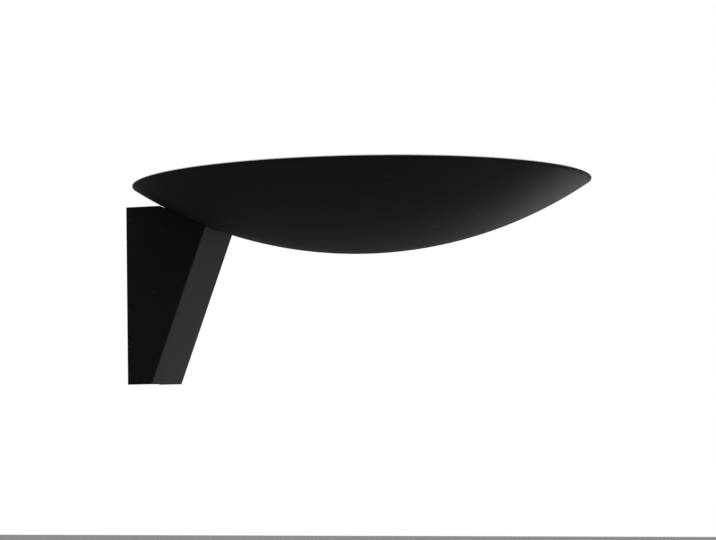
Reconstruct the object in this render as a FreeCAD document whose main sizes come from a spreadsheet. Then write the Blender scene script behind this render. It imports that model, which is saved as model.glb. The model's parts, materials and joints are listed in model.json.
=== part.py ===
import FreeCAD, Part
import math
import os
import Sketcher

# Uplighter wall sconce: a shallow spun dish, open upwards, on a folded wedge-shaped body
# that hooks on a wall plate.  A linear halogen lamp lies in a pan inside the dish.
# Frame: the wall is the plane y = 0, the light faces -Y, +Z is up, and the origin is the
# middle of the two wall screw holes, on the wall.  Millimetres.

doc = FreeCAD.newDocument("sconce")

# Slack for the tests that pick edges by where they lie.
SLACK = 0.01

# ---------------------------------------------------------------- driving sizes

SIZES = [
    # dish: a spherical cap spun from sheet
    ("dish_radius", 175),
    ("dish_depth", 51.6),
    ("dish_wall", 1.5),
    ("rim_height", 80),
    ("rim_wall_gap", 6.5),
    # folded wedge body
    ("body_width", 65),
    ("body_sheet", 1.5),
    ("body_top_drop", 11.5),
    ("body_bottom", -68.9),
    ("toe_depth", 19.6),
    ("front_lean", 0.379),
    ("bend_round", 2),
    ("body_back_gap", 0.3),
    ("bottom_recess", 3.2),
    ("hook_drop", 6),
    ("hook_gap", 0.3),
    ("seat_clearance", 0.3),
    # wall plate
    ("plate_thick", 2),
    ("plate_side_gap", 0.5),
    ("ledge_depth", 12),
    ("tab_depth", 15),
    ("wall_hole_spacing", 100),
    ("wall_hole_radius", 2.75),
    ("cable_hole_radius", 9),
    ("cable_hole_drop", 25),
    ("corner_round", 3),
    # saddle joint between the body and the dish, in layers along the radius of the dish
    ("layer_gap", 0.15),
    ("gasket_thick", 1),
    ("saddle_thick", 2),
    ("backing_thick", 1.2),
    ("saddle_front_gap", 0.2),
    ("saddle_rear_gap", 0.5),
    ("front_screw_gap", 6),
    ("rear_screw_gap", 8.5),
    ("screw_side_inset", 8),
    ("lead_hole_radius", 5),
    ("lead_bore_radius", 3.2),
    ("lead_flange_reach", 1.6),
    ("lead_flange_thick", 1.6),
    # M4 and M3 fasteners
    ("m_four_radius", 1.95),
    ("m_four_hole", 2.2),
    ("m_four_head", 3.8),
    ("m_four_head_height", 2.2),
    ("m_four_socket", 1.25),
    ("m_four_nut", 4.04),
    ("m_four_nut_height", 3.2),
    ("m_three_radius", 1.45),
    ("m_three_hole", 1.6),
    ("m_three_head", 2.8),
    ("m_three_head_height", 1.7),
    ("washer_radius", 4.5),
    ("washer_thick", 0.8),
    ("screw_tail", 1.5),
    ("socket_depth", 1.3),
    # lamp pan
    ("pan_width", 104),
    ("pan_wall", 1),
    ("pan_clearance", 16.1),
    ("pan_depth", 20),
    ("pan_end_gap", 2.2),
    ("pan_flange", 5),
    ("pan_round", 8),
    ("pan_bottom_round", 2),
    ("stud_end_inset", 20),
    ("stud_side_inset", 14),
    ("spacer_radius", 4),
    # reflector
    ("reflector_thick", 0.6),
    ("reflector_end_gap", 5),
    ("reflector_side_gap", 1),
    ("reflector_flat", 7),
    ("reflector_lip", 4),
    ("reflector_lip_gap", 1.2),
    ("holder_cutout_gap", 1),
    ("rivet_inset", 15.8),
    ("rivet_radius", 1.6),
    # lamp
    ("lamp_rise", 11),
    ("lamp_length", 117.6),
    ("tube_radius", 4.5),
    ("tube_wall", 1),
    ("cap_radius", 4.6),
    ("cap_length", 9),
    ("contact_recess", 2.5),
    ("recess_radius", 2.2),
    ("filament_radius", 0.6),
    ("support_pitch", 30),
    ("lamp_travel", 2.5),
    # lampholders
    ("holder_width", 16),
    ("holder_depth", 22),
    ("holder_above", 6),
    ("holder_slot_radius", 5.1),
    ("holder_overlap", 7),
    ("holder_round", 1),
    ("holder_screw_inset", 4),
    ("holder_screw_depth", 4),
    ("contact_radius", 1.8),
    ("contact_gap", 0.2),
    ("holder_web", 2),
    ("chamber_radius", 4.2),
    ("collar_radius", 3.4),
    ("collar_thick", 1.2),
    ("spring_wire", 0.35),
    ("spring_turns", 4),
    ("spring_cap_thick", 1),
    # safety glass on its corner seats
    ("glass_overhang", 2),
    ("glass_thick", 4),
    ("glass_round", 3),
    ("glass_bevel", 0.6),
    ("glass_rest_gap", 0.1),
    ("glass_side_gap", 0.4),
    ("seat_thick", 1.9),
    ("seat_rise", 3),
    ("seat_leg", 16),
    ("seat_wall", 1.6),
    # supply side on the wall plate, from the cable hole up
    ("grommet_bore", 4.5),
    ("grommet_flange", 11.5),
    ("grommet_height", 3.2),
    ("grommet_lip", 1.5),
    ("clamp_rise", 4),
    ("clamp_height", 9),
    ("clamp_length", 30),
    ("clamp_thick", 1.5),
    ("clamp_arch", 5),
    ("clamp_flatness", 0.2),
    ("clamp_screw_inset", 4),
    ("block_rise", 3),
    ("block_end", 7),
    ("block_depth", 15),
    ("block_height", 17),
    ("block_round", 1),
    ("block_screw_sink", 2),
    ("pole_pitch", 10),
    ("pole_bore", 2),
    ("pole_screw_bore", 2.2),
    ("earth_drop", 10),
    ("earth_stud_length", 11),
    ("earth_ring", 4),
    ("earth_barrel", 1.6),
    ("earth_barrel_length", 7),
    ("earth_neck", 6),
    ("earth_ring_thick", 0.8),
    # wiring
    ("sleeve_radius", 0.9),
    ("bush_bore", 1.2),
    ("bush_neck", 2.4),
    ("bush_flange", 3.4),
    ("bush_flange_thick", 1),
    ("bond_height", 8),
    ("running_gap", 0.1),
]

# Places worked out from the driving sizes.
PLACES = [
    ("sphere_radius", "(Sizes.dish_radius^2 + Sizes.dish_depth^2) / (2 * Sizes.dish_depth)"),
    ("inner_radius", "sphere_radius - Sizes.dish_wall"),
    ("axis_depth", "Sizes.dish_radius + Sizes.rim_wall_gap"),
    ("sphere_z", "Sizes.rim_height - Sizes.dish_depth + sphere_radius"),
    ("body_top", "Sizes.rim_height - Sizes.body_top_drop"),
    ("lean_square", "1 + Sizes.front_lean^2"),
    ("sheet_across", "Sizes.body_sheet * sqrt(lean_square)"),
    ("inner_half", "Sizes.body_width / 2 - Sizes.body_sheet"),
    ("floor_low", "Sizes.body_bottom + Sizes.bottom_recess"),
    ("floor_high", "floor_low + Sizes.body_sheet"),
    ("hook_high", "body_top - Sizes.body_sheet"),
    ("hook_back", "Sizes.ledge_depth + Sizes.hook_gap"),
    ("screw_depth", "(Sizes.toe_depth + Sizes.body_back_gap) / 2"),
    # how far from the dish's axis its outside meets the front's inside and the top flange
    ("front_foot", "axis_depth - Sizes.toe_depth + sheet_across"),
    ("front_offset", "front_foot - Sizes.front_lean * (sphere_z - Sizes.body_bottom)"),
    ("front_reach", "sqrt(sphere_radius^2 * lean_square - front_offset^2)"),
    ("front_fall", "(front_reach - front_offset * Sizes.front_lean) / lean_square"),
    ("front_ring", "front_offset + Sizes.front_lean * front_fall"),
    ("rear_ring", "sqrt(sphere_radius^2 - (sphere_z - hook_high)^2)"),
    ("saddle_back", "axis_depth - sqrt(rear_ring^2 - inner_half^2) + Sizes.saddle_rear_gap"),
    ("front_screw_radius", "front_ring + Sizes.front_screw_gap"),
    ("rear_screw_radius", "rear_ring - Sizes.rear_screw_gap"),
    ("lead_radius", "(front_screw_radius + rear_screw_radius) / 2"),
    ("screw_side", "inner_half - Sizes.screw_side_inset"),
    ("front_screw_turn", "asin(screw_side / front_screw_radius)"),
    ("rear_screw_turn", "asin(screw_side / rear_screw_radius)"),
    ("gasket_in", "sphere_radius + Sizes.layer_gap"),
    ("saddle_in", "gasket_in + Sizes.gasket_thick + Sizes.layer_gap"),
    ("saddle_out", "saddle_in + Sizes.saddle_thick"),
    ("backing_out", "inner_radius - Sizes.layer_gap"),
    ("backing_in", "backing_out - Sizes.backing_thick"),
    # along the lamp, from its middle
    ("lamp_half", "Sizes.lamp_length / 2"),
    ("holder_face", "lamp_half - Sizes.holder_overlap"),
    ("left_web", "lamp_half + Sizes.contact_gap"),
    ("right_web", "lamp_half + Sizes.lamp_travel + Sizes.contact_gap"),
    ("chamber_face", "right_web + Sizes.holder_web"),
    ("holder_back", "holder_face + Sizes.holder_depth"),
    ("holder_middle", "holder_face + Sizes.holder_depth / 2"),
    ("collar_face", "chamber_face + Sizes.running_gap"),
    ("spring_low", "collar_face + Sizes.collar_thick + Sizes.running_gap"),
    ("contact_tip", "lamp_half - Sizes.contact_recess + Sizes.running_gap"),
    ("rivet_x", "holder_face - Sizes.rivet_inset"),
    ("pan_inner_half", "holder_back + Sizes.spring_cap_thick + Sizes.pan_end_gap"),
    ("pan_length", "2 * (pan_inner_half + Sizes.pan_wall)"),
    ("stud_x", "pan_length / 2 - Sizes.stud_end_inset"),
    ("stud_y", "Sizes.pan_width / 2 - Sizes.stud_side_inset"),
    # heights in the dish
    ("dish_low", "Sizes.rim_height - Sizes.dish_depth"),
    ("pan_low", "dish_low + Sizes.dish_wall + Sizes.pan_clearance"),
    ("pan_floor", "pan_low + Sizes.pan_wall"),
    ("pan_high", "pan_low + Sizes.pan_depth"),
    ("lamp_z", "pan_floor + Sizes.lamp_rise"),
    ("reflector_length", "2 * (pan_inner_half - Sizes.reflector_end_gap)"),
    ("reflector_edge", "Sizes.pan_width / 2 - Sizes.pan_wall - Sizes.reflector_side_gap"),
    ("reflector_half_width", "reflector_edge - Sizes.reflector_lip"),
    ("reflector_top", "pan_high - Sizes.reflector_lip_gap - pan_floor"),
    ("reflector_rise", "reflector_top - Sizes.reflector_thick"),
    ("reflector_run", "reflector_half_width - Sizes.reflector_flat"),
    ("reflector_bow", "(reflector_run^2 + reflector_rise^2) / (2 * reflector_rise)"),
    ("glass_length", "pan_length + 2 * Sizes.glass_overhang"),
    ("glass_width", "Sizes.pan_width + 2 * Sizes.glass_overhang"),
    ("glass_low", "pan_high + Sizes.seat_thick + Sizes.glass_rest_gap"),
    # on the wall plate
    ("clamp_low", "Sizes.cable_hole_radius + Sizes.clamp_rise - Sizes.cable_hole_drop"),
    ("clamp_z", "clamp_low + Sizes.clamp_height / 2"),
    ("clamp_screw_x", "Sizes.clamp_length / 2 - Sizes.clamp_screw_inset"),
    ("clamp_bow", "Sizes.clamp_arch + Sizes.clamp_flatness"),
    ("clamp_centre", "Sizes.plate_thick - sqrt(clamp_bow^2 - Sizes.clamp_arch^2)"),
    ("block_low", "clamp_low + Sizes.clamp_height + Sizes.block_rise"),
    ("block_length", "2 * (Sizes.pole_pitch + Sizes.block_end)"),
    ("block_z", "block_low + Sizes.block_height / 2"),
    ("block_face", "Sizes.plate_thick + Sizes.block_depth"),
    ("block_middle", "Sizes.plate_thick + Sizes.block_depth / 2"),
    ("block_screw_low", "block_z - Sizes.block_height / 4"),
    ("block_screw_high", "block_z + Sizes.block_height / 4"),
    ("block_mount_x", "Sizes.pole_pitch / 2"),
    ("earth_z", "Sizes.wall_hole_spacing / 2 - Sizes.earth_drop"),
    ("barrel_high", "earth_z - Sizes.earth_neck"),
]


def fill_sheet(name, rows):
    """One named cell for each row: a plain number, or a formula on other cells."""
    sheet = doc.addObject("Spreadsheet::Sheet", name)
    for row, (alias, content) in enumerate(rows, start=1):
        formula = "=" + content if isinstance(content, str) else str(content)
        sheet.set("A%d" % row, alias)
        sheet.set("B%d" % row, formula)
        sheet.setAlias("B%d" % row, alias)
    doc.recompute()
    return sheet


sizes = fill_sheet("Sizes", SIZES)
places = fill_sheet("Places", PLACES)
NAMES = {alias: "Sizes." + alias for alias, content in SIZES}
NAMES.update({alias: "Places." + alias for alias, content in PLACES})


# ---------------------------------------------------------------- helpers

def formula(words):
    """Write a formula on size names as one on the sheets' cells."""
    text = str(words)
    parts = []
    word = ""
    for letter in text + " ":
        if letter.isalnum() or letter == "_":
            word += letter
            continue
        parts.append(NAMES.get(word, word))
        parts.append(letter)
        word = ""
    return "".join(parts).strip()


def value(words):
    """The number that a formula on size names gives now."""
    result = sizes.evalExpression(formula(words))
    return float(getattr(result, "Value", result))


def bind(thing, **properties):
    """Tie properties of an object to formulas on the sheets."""
    for name, words in properties.items():
        thing.setExpression(name, formula(words))
    return thing


def spot(x=0, y=0, z=0, turn=None):
    """A placement at a point; turn is an (axis, degrees) pair such as ("0;1;0", 90)."""
    axis, angle = turn or ("0;0;1", 0)
    rotation = "rotation(vector(%s); %s)" % (axis, formula(angle))
    return "placement(vector(%s; %s; %s); %s)" % (formula(x), formula(y), formula(z), rotation)


ALONG_X = ("0;1;0", 90)
OUT_OF_WALL = ("1;0;0", 90)


def on_radius(ring, turn, distance):
    """A placement on a line from the middle of the dish's sphere out through its wall.

    ring is how far from the dish's axis the line meets the wall, turn swings it round
    that axis, and distance is measured from the middle of the sphere.  Local +Z then
    points back to the middle.
    """
    middle = spot(0, "-axis_depth", "sphere_z", ("0;0;1", turn))
    tilt = spot(0, 0, 0, ("1;0;0", "asin(%s / sphere_radius)" % ring))
    return "%s * %s * %s" % (middle, tilt, spot(0, 0, "-(%s)" % distance))


def named(thing, label):
    thing.Label = label
    return thing


def cylinder(name, radius, height, place):
    solid = doc.addObject("Part::Cylinder", name)
    bind(solid, Radius=radius, Height=height)
    solid.setExpression("Placement", place)
    return solid


def cone(name, low_radius, high_radius, height, place):
    solid = doc.addObject("Part::Cone", name)
    bind(solid, Radius1=low_radius, Radius2=high_radius, Height=height)
    solid.setExpression("Placement", place)
    return solid


def box(name, length, width, height, x, y, z):
    """A box whose x and y are its middle and whose z is its underside."""
    solid = doc.addObject("Part::Box", name)
    bind(solid, Length=length, Width=width, Height=height)
    low_x = "%s - (%s) / 2" % (x, length)
    low_y = "%s - (%s) / 2" % (y, width)
    solid.setExpression("Placement", spot(low_x, low_y, z))
    return solid


def ball(name, radius):
    """A sphere about the middle of the dish's own sphere."""
    solid = doc.addObject("Part::Sphere", name)
    bind(solid, Radius=radius)
    solid.setExpression("Placement", spot(0, "-axis_depth", "sphere_z"))
    return solid


def hexagon(name, corner_radius, height, place):
    solid = doc.addObject("Part::Prism", name)
    solid.Polygon = 6
    bind(solid, Circumradius=corner_radius, Height=height)
    solid.setExpression("Placement", place)
    return solid


def fuse(name, *pieces):
    joined = doc.addObject("Part::MultiFuse", name)
    joined.Shapes = list(pieces)
    return joined


def cut(name, base, *tools):
    """Base less the tools."""
    carved = doc.addObject("Part::Cut", name)
    carved.Base = base
    carved.Tool = tools[0] if len(tools) == 1 else fuse(name + "_tools", *tools)
    return carved


def common(name, first, second):
    kept = doc.addObject("Part::Common", name)
    kept.Base = first
    kept.Tool = second
    return kept


def group(name, pieces):
    """Like pieces that share one node, as separate solids."""
    together = doc.addObject("Part::Compound", name)
    together.Links = list(pieces)
    return named(together, name)


def arc_between(start, end, radius, side):
    """The shorter arc between two points; side 1 has its centre on the left of the way."""
    middle = (start + end) * 0.5
    way = end - start
    reach = math.sqrt(max(radius ** 2 - (way.Length / 2) ** 2, 0.0))
    left = FreeCAD.Vector(-way.y, way.x, 0).normalize()
    centre = middle + left * reach * side
    first, last = (start, end) if side > 0 else (end, start)
    first_angle = math.atan2(first.y - centre.y, first.x - centre.x)
    last_angle = math.atan2(last.y - centre.y, last.x - centre.x)
    circle = Part.Circle(centre, FreeCAD.Vector(0, 0, 1), radius)
    return Part.ArcOfCircle(circle, first_angle, last_angle)


def pin_point(sketch, geometry, end, x, y):
    """Hold a sketch point at x and y from the origin, by formulas."""
    for words, kind, axis in ((x, "DistanceX", -2), (y, "DistanceY", -1)):
        if words == "0":
            sketch.addConstraint(Sketcher.Constraint("PointOnObject", geometry, end, axis))
            continue
        index = sketch.addConstraint(Sketcher.Constraint(kind, -1, 1, geometry, end, value(words)))
        sketch.setExpression("Constraints[%d]" % index, formula(words))


def sketch_on(body, role, name, lift):
    """A sketch on one of the body's own planes, lifted along the plane's normal."""
    plane = [item for item in body.Origin.OriginFeatures if item.Role == role][0]
    sketch = body.newObject("Sketcher::SketchObject", name)
    sketch.AttachmentSupport = [(plane, "")]
    sketch.MapMode = "FlatFace"
    sketch.setExpression("AttachmentOffset.Base.z", formula(lift))
    return sketch


def outline(body, role, name, corners, lift="0"):
    """A closed outline through corners (x, y) or, before an arc, (x, y, radius, side)."""
    sketch = sketch_on(body, role, name, lift)
    points = [FreeCAD.Vector(value(corner[0]), value(corner[1]), 0) for corner in corners]
    ends = []
    for index, corner in enumerate(corners):
        start, end = points[index], points[(index + 1) % len(points)]
        if len(corner) == 4:
            edge = arc_between(start, end, value(corner[2]), corner[3])
            ends.append((1, 2) if corner[3] > 0 else (2, 1))
        else:
            edge = Part.LineSegment(start, end)
            ends.append((1, 2))
        sketch.addGeometry(edge, False)
    for index in range(len(corners)):
        after = (index + 1) % len(corners)
        meeting = Sketcher.Constraint("Coincident", index, ends[index][1], after, ends[after][0])
        sketch.addConstraint(meeting)
    for index, corner in enumerate(corners):
        pin_point(sketch, index, ends[index][0], corner[0], corner[1])
        if len(corner) == 4:
            number = sketch.addConstraint(Sketcher.Constraint("Radius", index, value(corner[2])))
            sketch.setExpression("Constraints[%d]" % number, formula(corner[2]))
    return sketch


def rectangle(body, role, name, left, right, low, high, lift="0"):
    return outline(body, role, name, [(left, low), (right, low), (right, high), (left, high)], lift)


def rounded_rectangle(body, role, name, half_long, half_wide, radius, lift="0"):
    """A rectangle about the plane's origin with round corners."""
    near_long = "%s - (%s)" % (half_long, radius)
    near_wide = "%s - (%s)" % (half_wide, radius)
    corners = [
        (near_long, signed(-1, half_wide), radius, 1), (half_long, signed(-1, near_wide)),
        (half_long, near_wide, radius, 1), (near_long, half_wide),
        (signed(-1, near_long), half_wide, radius, 1), (signed(-1, half_long), near_wide),
        (signed(-1, half_long), signed(-1, near_wide), radius, 1),
        (signed(-1, near_long), signed(-1, half_wide))]
    return outline(body, role, name, corners, lift)


def circles(body, role, name, spots, radius, lift="0"):
    """Circles of one radius about spots (x, y)."""
    sketch = sketch_on(body, role, name, lift)
    for index, (x, y) in enumerate(spots):
        centre = FreeCAD.Vector(value(x), value(y), 0)
        sketch.addGeometry(Part.Circle(centre, FreeCAD.Vector(0, 0, 1), value(radius)), False)
        pin_point(sketch, index, 3, x, y)
        number = sketch.addConstraint(Sketcher.Constraint("Radius", index, value(radius)))
        sketch.setExpression("Constraints[%d]" % number, formula(radius))
    return sketch


def new_body(label):
    return named(doc.addObject("PartDesign::Body", label + "_body"), label + "_form")


def pad(body, sketch, length, both_ways=True, backwards=False):
    feature = body.newObject("PartDesign::Pad", sketch.Name + "_pad")
    feature.Profile = sketch
    feature.Midplane = both_ways
    feature.Reversed = backwards
    bind(feature, Length=length)
    doc.recompute()
    return feature


def pocket(body, sketch, length, both_ways=True, backwards=False):
    """A pocket that is checked to have taken something away."""
    before = body.Shape.Volume
    feature = body.newObject("PartDesign::Pocket", sketch.Name + "_pocket")
    feature.Profile = sketch
    feature.Midplane = both_ways
    feature.Reversed = backwards
    bind(feature, Length=length)
    doc.recompute()
    if not body.Shape.Volume < before:
        raise RuntimeError("nothing was cut by %s, %s" % (feature.Name, feature.State))
    return feature


def revolve(body, sketch):
    feature = body.newObject("PartDesign::Revolution", sketch.Name + "_turn")
    feature.Profile = sketch
    feature.ReferenceAxis = (sketch, ["V_Axis"])
    feature.Angle = 360
    doc.recompute()
    return feature


def edge_names(shape, test):
    return ["Edge%d" % (index + 1) for index, edge in enumerate(shape.Edges) if test(edge)]


def round_edges(body, radius, test, kind="PartDesign::Fillet"):
    """Round, or bevel, the edges of the body's last feature that pass a test."""
    base = body.Tip
    feature = body.newObject(kind, "%s_edges%d" % (body.Name, len(body.Group)))
    feature.Base = (base, edge_names(base.Shape, test))
    bind(feature, **{"Size" if kind.endswith("Chamfer") else "Radius": radius})
    doc.recompute()
    return feature


def runs_along(direction):
    """A test for straight edges along a direction."""
    way = FreeCAD.Vector(*direction).normalize()

    def test(edge):
        if len(edge.Vertexes) != 2 or not isinstance(edge.Curve, Part.Line):
            return False
        return abs(edge.tangentAt(edge.FirstParameter).dot(way)) > 1 - SLACK ** 2
    return test


def signed(sign, words):
    """A formula, or the same formula below zero."""
    return words if sign > 0 else "-(%s)" % words


# ---------------------------------------------------------------- wall plate and body

def make_wall_plate():
    """Folded steel plate: hook ledge on top, threaded tab below, two slots for wall screws."""
    body = new_body("wall_plate")
    tab_front = "-tab_depth"
    ledge_front = "-ledge_depth"
    face = "-plate_thick"
    side = outline(body, "YZ_Plane", "plate_side", [
        ("0", "floor_high"), (tab_front, "floor_high"),
        (tab_front, "floor_high + plate_thick"), (face, "floor_high + plate_thick"),
        (face, "hook_high - plate_thick"), (ledge_front, "hook_high - plate_thick"),
        (ledge_front, "hook_high"), ("0", "hook_high")])
    pad(body, side, "2 * (inner_half - plate_side_gap)")
    round_edges(body, "corner_round", is_plate_corner)
    across = "wall_hole_spacing / 2"
    spots = [("0", across), ("0", signed(-1, across))]
    holes = circles(body, "XZ_Plane", "wall_holes", spots, "wall_hole_radius")
    pocket(body, holes, "4 * plate_thick")
    cable = circles(body, "XZ_Plane", "cable_hole", [("0", "-cable_hole_drop")], "cable_hole_radius")
    pocket(body, cable, "4 * plate_thick")
    thread = cylinder("tab_thread", "m_four_hole", "4 * plate_thick", spot(0, "-screw_depth", "floor_low"))
    return named(cut("wall_plate_drilled", body, thread), "wall_plate")


def is_plate_corner(edge):
    """The short upright edges at the free corners of the ledge and the tab."""
    thick = value("plate_thick")
    upright = runs_along((0, 0, 1))(edge)
    return upright and edge.Length < thick + SLACK and edge.CenterOfMass.y < -thick - SLACK


def inner_front(z):
    """How far out the inside of the leaning front is at a height."""
    return "-(toe_depth + front_lean * (%s - body_bottom) - sheet_across)" % z


def make_wedge_body():
    """Folded sheet: two cheeks, a leaning front, a top flange with a hook lip, a raised floor.

    The top is cut to the dish's own sphere, so the dish drops into it all round.
    """
    body = new_body("wedge_body")
    back = "-body_back_gap"
    side = outline(body, "YZ_Plane", "body_side", [
        (back, "body_bottom"), ("-toe_depth", "body_bottom"),
        (inner_front("body_top") + " - sheet_across", "body_top"), (back, "body_top")])
    pad(body, side, "body_width")
    front = FreeCAD.Vector(0, -value("front_lean"), 1)
    round_edges(body, "bend_round", runs_along(front))
    lip = "-(hook_back + body_sheet)"
    inside = outline(body, "YZ_Plane", "body_inside", [
        ("plate_thick", "floor_high"), (inner_front("floor_high"), "floor_high"),
        (inner_front("hook_high"), "hook_high"), (lip, "hook_high"), (lip, "hook_high - hook_drop"),
        ("-hook_back", "hook_high - hook_drop"), ("-hook_back", "hook_high"), ("plate_thick", "hook_high")])
    pocket(body, inside, "2 * inner_half")
    below = "(body_bottom - bottom_recess)"
    under = outline(body, "YZ_Plane", "body_under", [
        ("plate_thick", below), (inner_front(below), below),
        (inner_front("floor_low"), "floor_low"), ("plate_thick", "floor_low")])
    pocket(body, under, "2 * inner_half")
    bowl = ball("body_bowl", "sphere_radius + seat_clearance")
    hole = cylinder("body_screw_hole", "m_four_hole", "6 * body_sheet",
                    spot(0, "-screw_depth", "body_bottom"))
    return named(cut("wedge_body_cut", body, bowl, hole), "wedge_body")


def make_body_screw():
    """Socket screw up through the raised floor into the plate's tab; the recess hides its head."""
    head = cylinder("body_screw_head", "m_four_head", "m_four_head_height",
                    spot(0, "-screw_depth", "floor_low - m_four_head_height"))
    shank = cylinder("body_screw_shank", "m_four_radius", "body_sheet + plate_thick + 2 * screw_tail",
                     spot(0, "-screw_depth", "floor_low - running_gap"))
    key = hexagon("body_screw_key", "m_four_socket", "socket_depth",
                  spot(0, "-screw_depth", "floor_low - m_four_head_height - running_gap"))
    return named(cut("body_screw_cut", fuse("body_screw_solid", head, shank), key), "body_fixing_screw")


def flanged_bush(name, bore, neck, flange, flange_thick, wall, place_of):
    """Soft bush in a wall: a neck in the hole and a flange on each face.

    place_of gives the placement at a height above the wall's first face, along the bush.
    """
    low = cylinder(name + "_low", flange, flange_thick, place_of("-(%s)" % flange_thick))
    middle = cylinder(name + "_neck", neck, wall, place_of("0"))
    high = cylinder(name + "_high", flange, flange_thick, place_of(wall))
    hole = cylinder(name + "_bore", bore, "%s + 4 * %s" % (wall, flange_thick),
                    place_of("-2 * %s" % flange_thick))
    return named(cut(name + "_cut", fuse(name + "_solid", low, middle, high), hole), name)


def make_cable_grommet():
    """Grommet pushed into the plate's cable hole: a neck in the hole and a tapered front flange."""
    neck = cylinder("cable_neck", "cable_hole_radius - running_gap", "plate_thick",
                    spot(0, 0, "-cable_hole_drop", OUT_OF_WALL))
    flange = cone("cable_flange", "grommet_flange", "grommet_bore + grommet_lip", "grommet_height",
                  spot(0, "-plate_thick", "-cable_hole_drop", OUT_OF_WALL))
    bore = cylinder("cable_bore", "grommet_bore", "4 * plate_thick + grommet_height",
                    spot(0, "plate_thick", "-cable_hole_drop", OUT_OF_WALL))
    solid = fuse("cable_grommet_solid", neck, flange)
    return named(cut("cable_grommet_cut", solid, bore), "cable_entry_grommet")


# ---------------------------------------------------------------- saddle joint

SEAT_SCREWS = [(row + "_screw_radius", signed(side, row + "_screw_turn"))
               for row in ("front", "rear") for side in (1, -1)]


def seat_holes(name):
    """Drills for the four seat screws and the lead, through every layer of the joint."""
    start = "saddle_out + 2 * saddle_thick"
    length = "saddle_out - backing_in + 4 * saddle_thick"
    drills = [cylinder("%s_hole%d" % (name, index), "m_four_hole", length, on_radius(ring, turn, start))
              for index, (ring, turn) in enumerate(SEAT_SCREWS)]
    lead = on_radius("lead_radius", 0, start)
    return drills + [cylinder(name + "_lead_hole", "lead_hole_radius", length, lead)]


def curved_layer(label, radius, thickness, outside):
    """A sheet pressed to a sphere about the dish's own middle, trimmed by a solid and drilled."""
    shell = cut(label + "_shell", ball(label + "_ball", "%s + %s" % (radius, thickness)),
                ball(label + "_hollow", radius))
    trimmed = common(label + "_trimmed", shell, outside)
    return named(cut(label + "_drilled", trimmed, *seat_holes(label)), label)


def inside_of_body(name, inset):
    """The space between the cheeks, behind the front and in front of the hook lip."""
    body = new_body(name)
    shape = outline(body, "YZ_Plane", name + "_side", [
        ("-saddle_back", "0"), ("%s + %s" % (inner_front("0"), inset), "0"),
        ("%s + %s" % (inner_front("rim_height"), inset), "rim_height"), ("-saddle_back", "rim_height")])
    pad(body, shape, "2 * inner_half")
    return body


def make_saddle_layers():
    """Saddle plate welded in the body, a gasket on it, and a backing plate inside the dish."""
    inside = inside_of_body("saddle_space", "saddle_front_gap")
    saddle = curved_layer("saddle_plate", "saddle_in", "saddle_thick", inside)
    inside = inside_of_body("gasket_space", "body_sheet")
    gasket = curved_layer("saddle_gasket", "gasket_in", "gasket_thick", inside)
    reach = "rear_screw_radius - front_screw_radius + 4 * washer_radius"
    space = box("backing_space", "2 * inner_half", reach, "dish_depth",
                0, "lead_radius - axis_depth", "dish_low")
    backing = curved_layer("backing_plate", "backing_in", "backing_thick", space)
    return [saddle, gasket, backing]


def make_seat_fasteners():
    """Four sets of screw, washer and nut that clamp dish, gasket and saddle together."""
    screws, washers, nuts = [], [], []
    washer_seat = "backing_in - running_gap / 2"
    under_head = washer_seat + " - washer_thick"
    tail = "saddle_out + m_four_nut_height + screw_tail"
    for index, (ring, turn) in enumerate(SEAT_SCREWS):
        tag = "seat%d_" % index
        head = cylinder(tag + "head", "m_four_head", "m_four_head_height", on_radius(ring, turn, under_head))
        shank = cylinder(tag + "shank", "m_four_radius", "%s - (%s) + running_gap" % (tail, under_head),
                         on_radius(ring, turn, tail))
        key = hexagon(tag + "key", "m_four_socket", "2 * socket_depth",
                      on_radius(ring, turn, under_head + " - m_four_head_height + socket_depth"))
        screws.append(cut(tag + "screw", fuse(tag + "screw_solid", head, shank), key))
        disc = cylinder(tag + "washer_disc", "washer_radius", "washer_thick",
                        on_radius(ring, turn, washer_seat))
        bore = cylinder(tag + "washer_bore", "m_four_hole", "3 * washer_thick",
                        on_radius(ring, turn, "backing_in + washer_thick"))
        washers.append(cut(tag + "washer", disc, bore))
        nut = hexagon(tag + "nut_hex", "m_four_nut", "m_four_nut_height",
                      on_radius(ring, turn, "saddle_out + m_four_nut_height + running_gap"))
        thread = cylinder(tag + "nut_thread", "m_four_radius + running_gap", "3 * m_four_nut_height",
                          on_radius(ring, turn, "saddle_out + 2 * m_four_nut_height"))
        nuts.append(cut(tag + "nut", nut, thread))
    return [group("dish_screws", screws), group("dish_washers", washers), group("dish_nuts", nuts)]


def make_lead_grommet():
    """Grommet for the three sleeved leads, through dish, gasket and saddle."""
    wall = "saddle_out - backing_in + 2 * running_gap"
    return flanged_bush("lead_grommet", "lead_bore_radius", "lead_hole_radius - running_gap",
                        "lead_hole_radius + lead_flange_reach", "lead_flange_thick", wall,
                        lambda along: on_radius("lead_radius", 0, "saddle_out + running_gap - (%s)" % along))


# ---------------------------------------------------------------- dish

def make_dish():
    """The spun dish, turned about its own upright axis; its rim is trimmed square to the sheet
    and its seat is drilled.
    """
    body = new_body("dish")
    share = "inner_radius / sphere_radius"
    profile = outline(body, "XZ_Plane", "dish_profile", [
        ("0", "dish_low", "sphere_radius", 1), ("dish_radius", "rim_height"),
        ("dish_radius * " + share, "sphere_z - (sphere_z - rim_height) * " + share, "inner_radius", -1),
        ("0", "dish_low + dish_wall")])
    revolve(body, profile)
    body.setExpression("Placement", spot(0, "-axis_depth", 0))
    return named(cut("dish_drilled", body, *seat_holes("dish")), "dish")


# ---------------------------------------------------------------- lamp pan and reflector

SIDES = (1, -1)
CORNERS = [(along, across) for along in SIDES for across in SIDES]
HOLDER_SCREWS = ["holder_face + holder_screw_inset", "holder_back - holder_screw_inset"]


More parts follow.
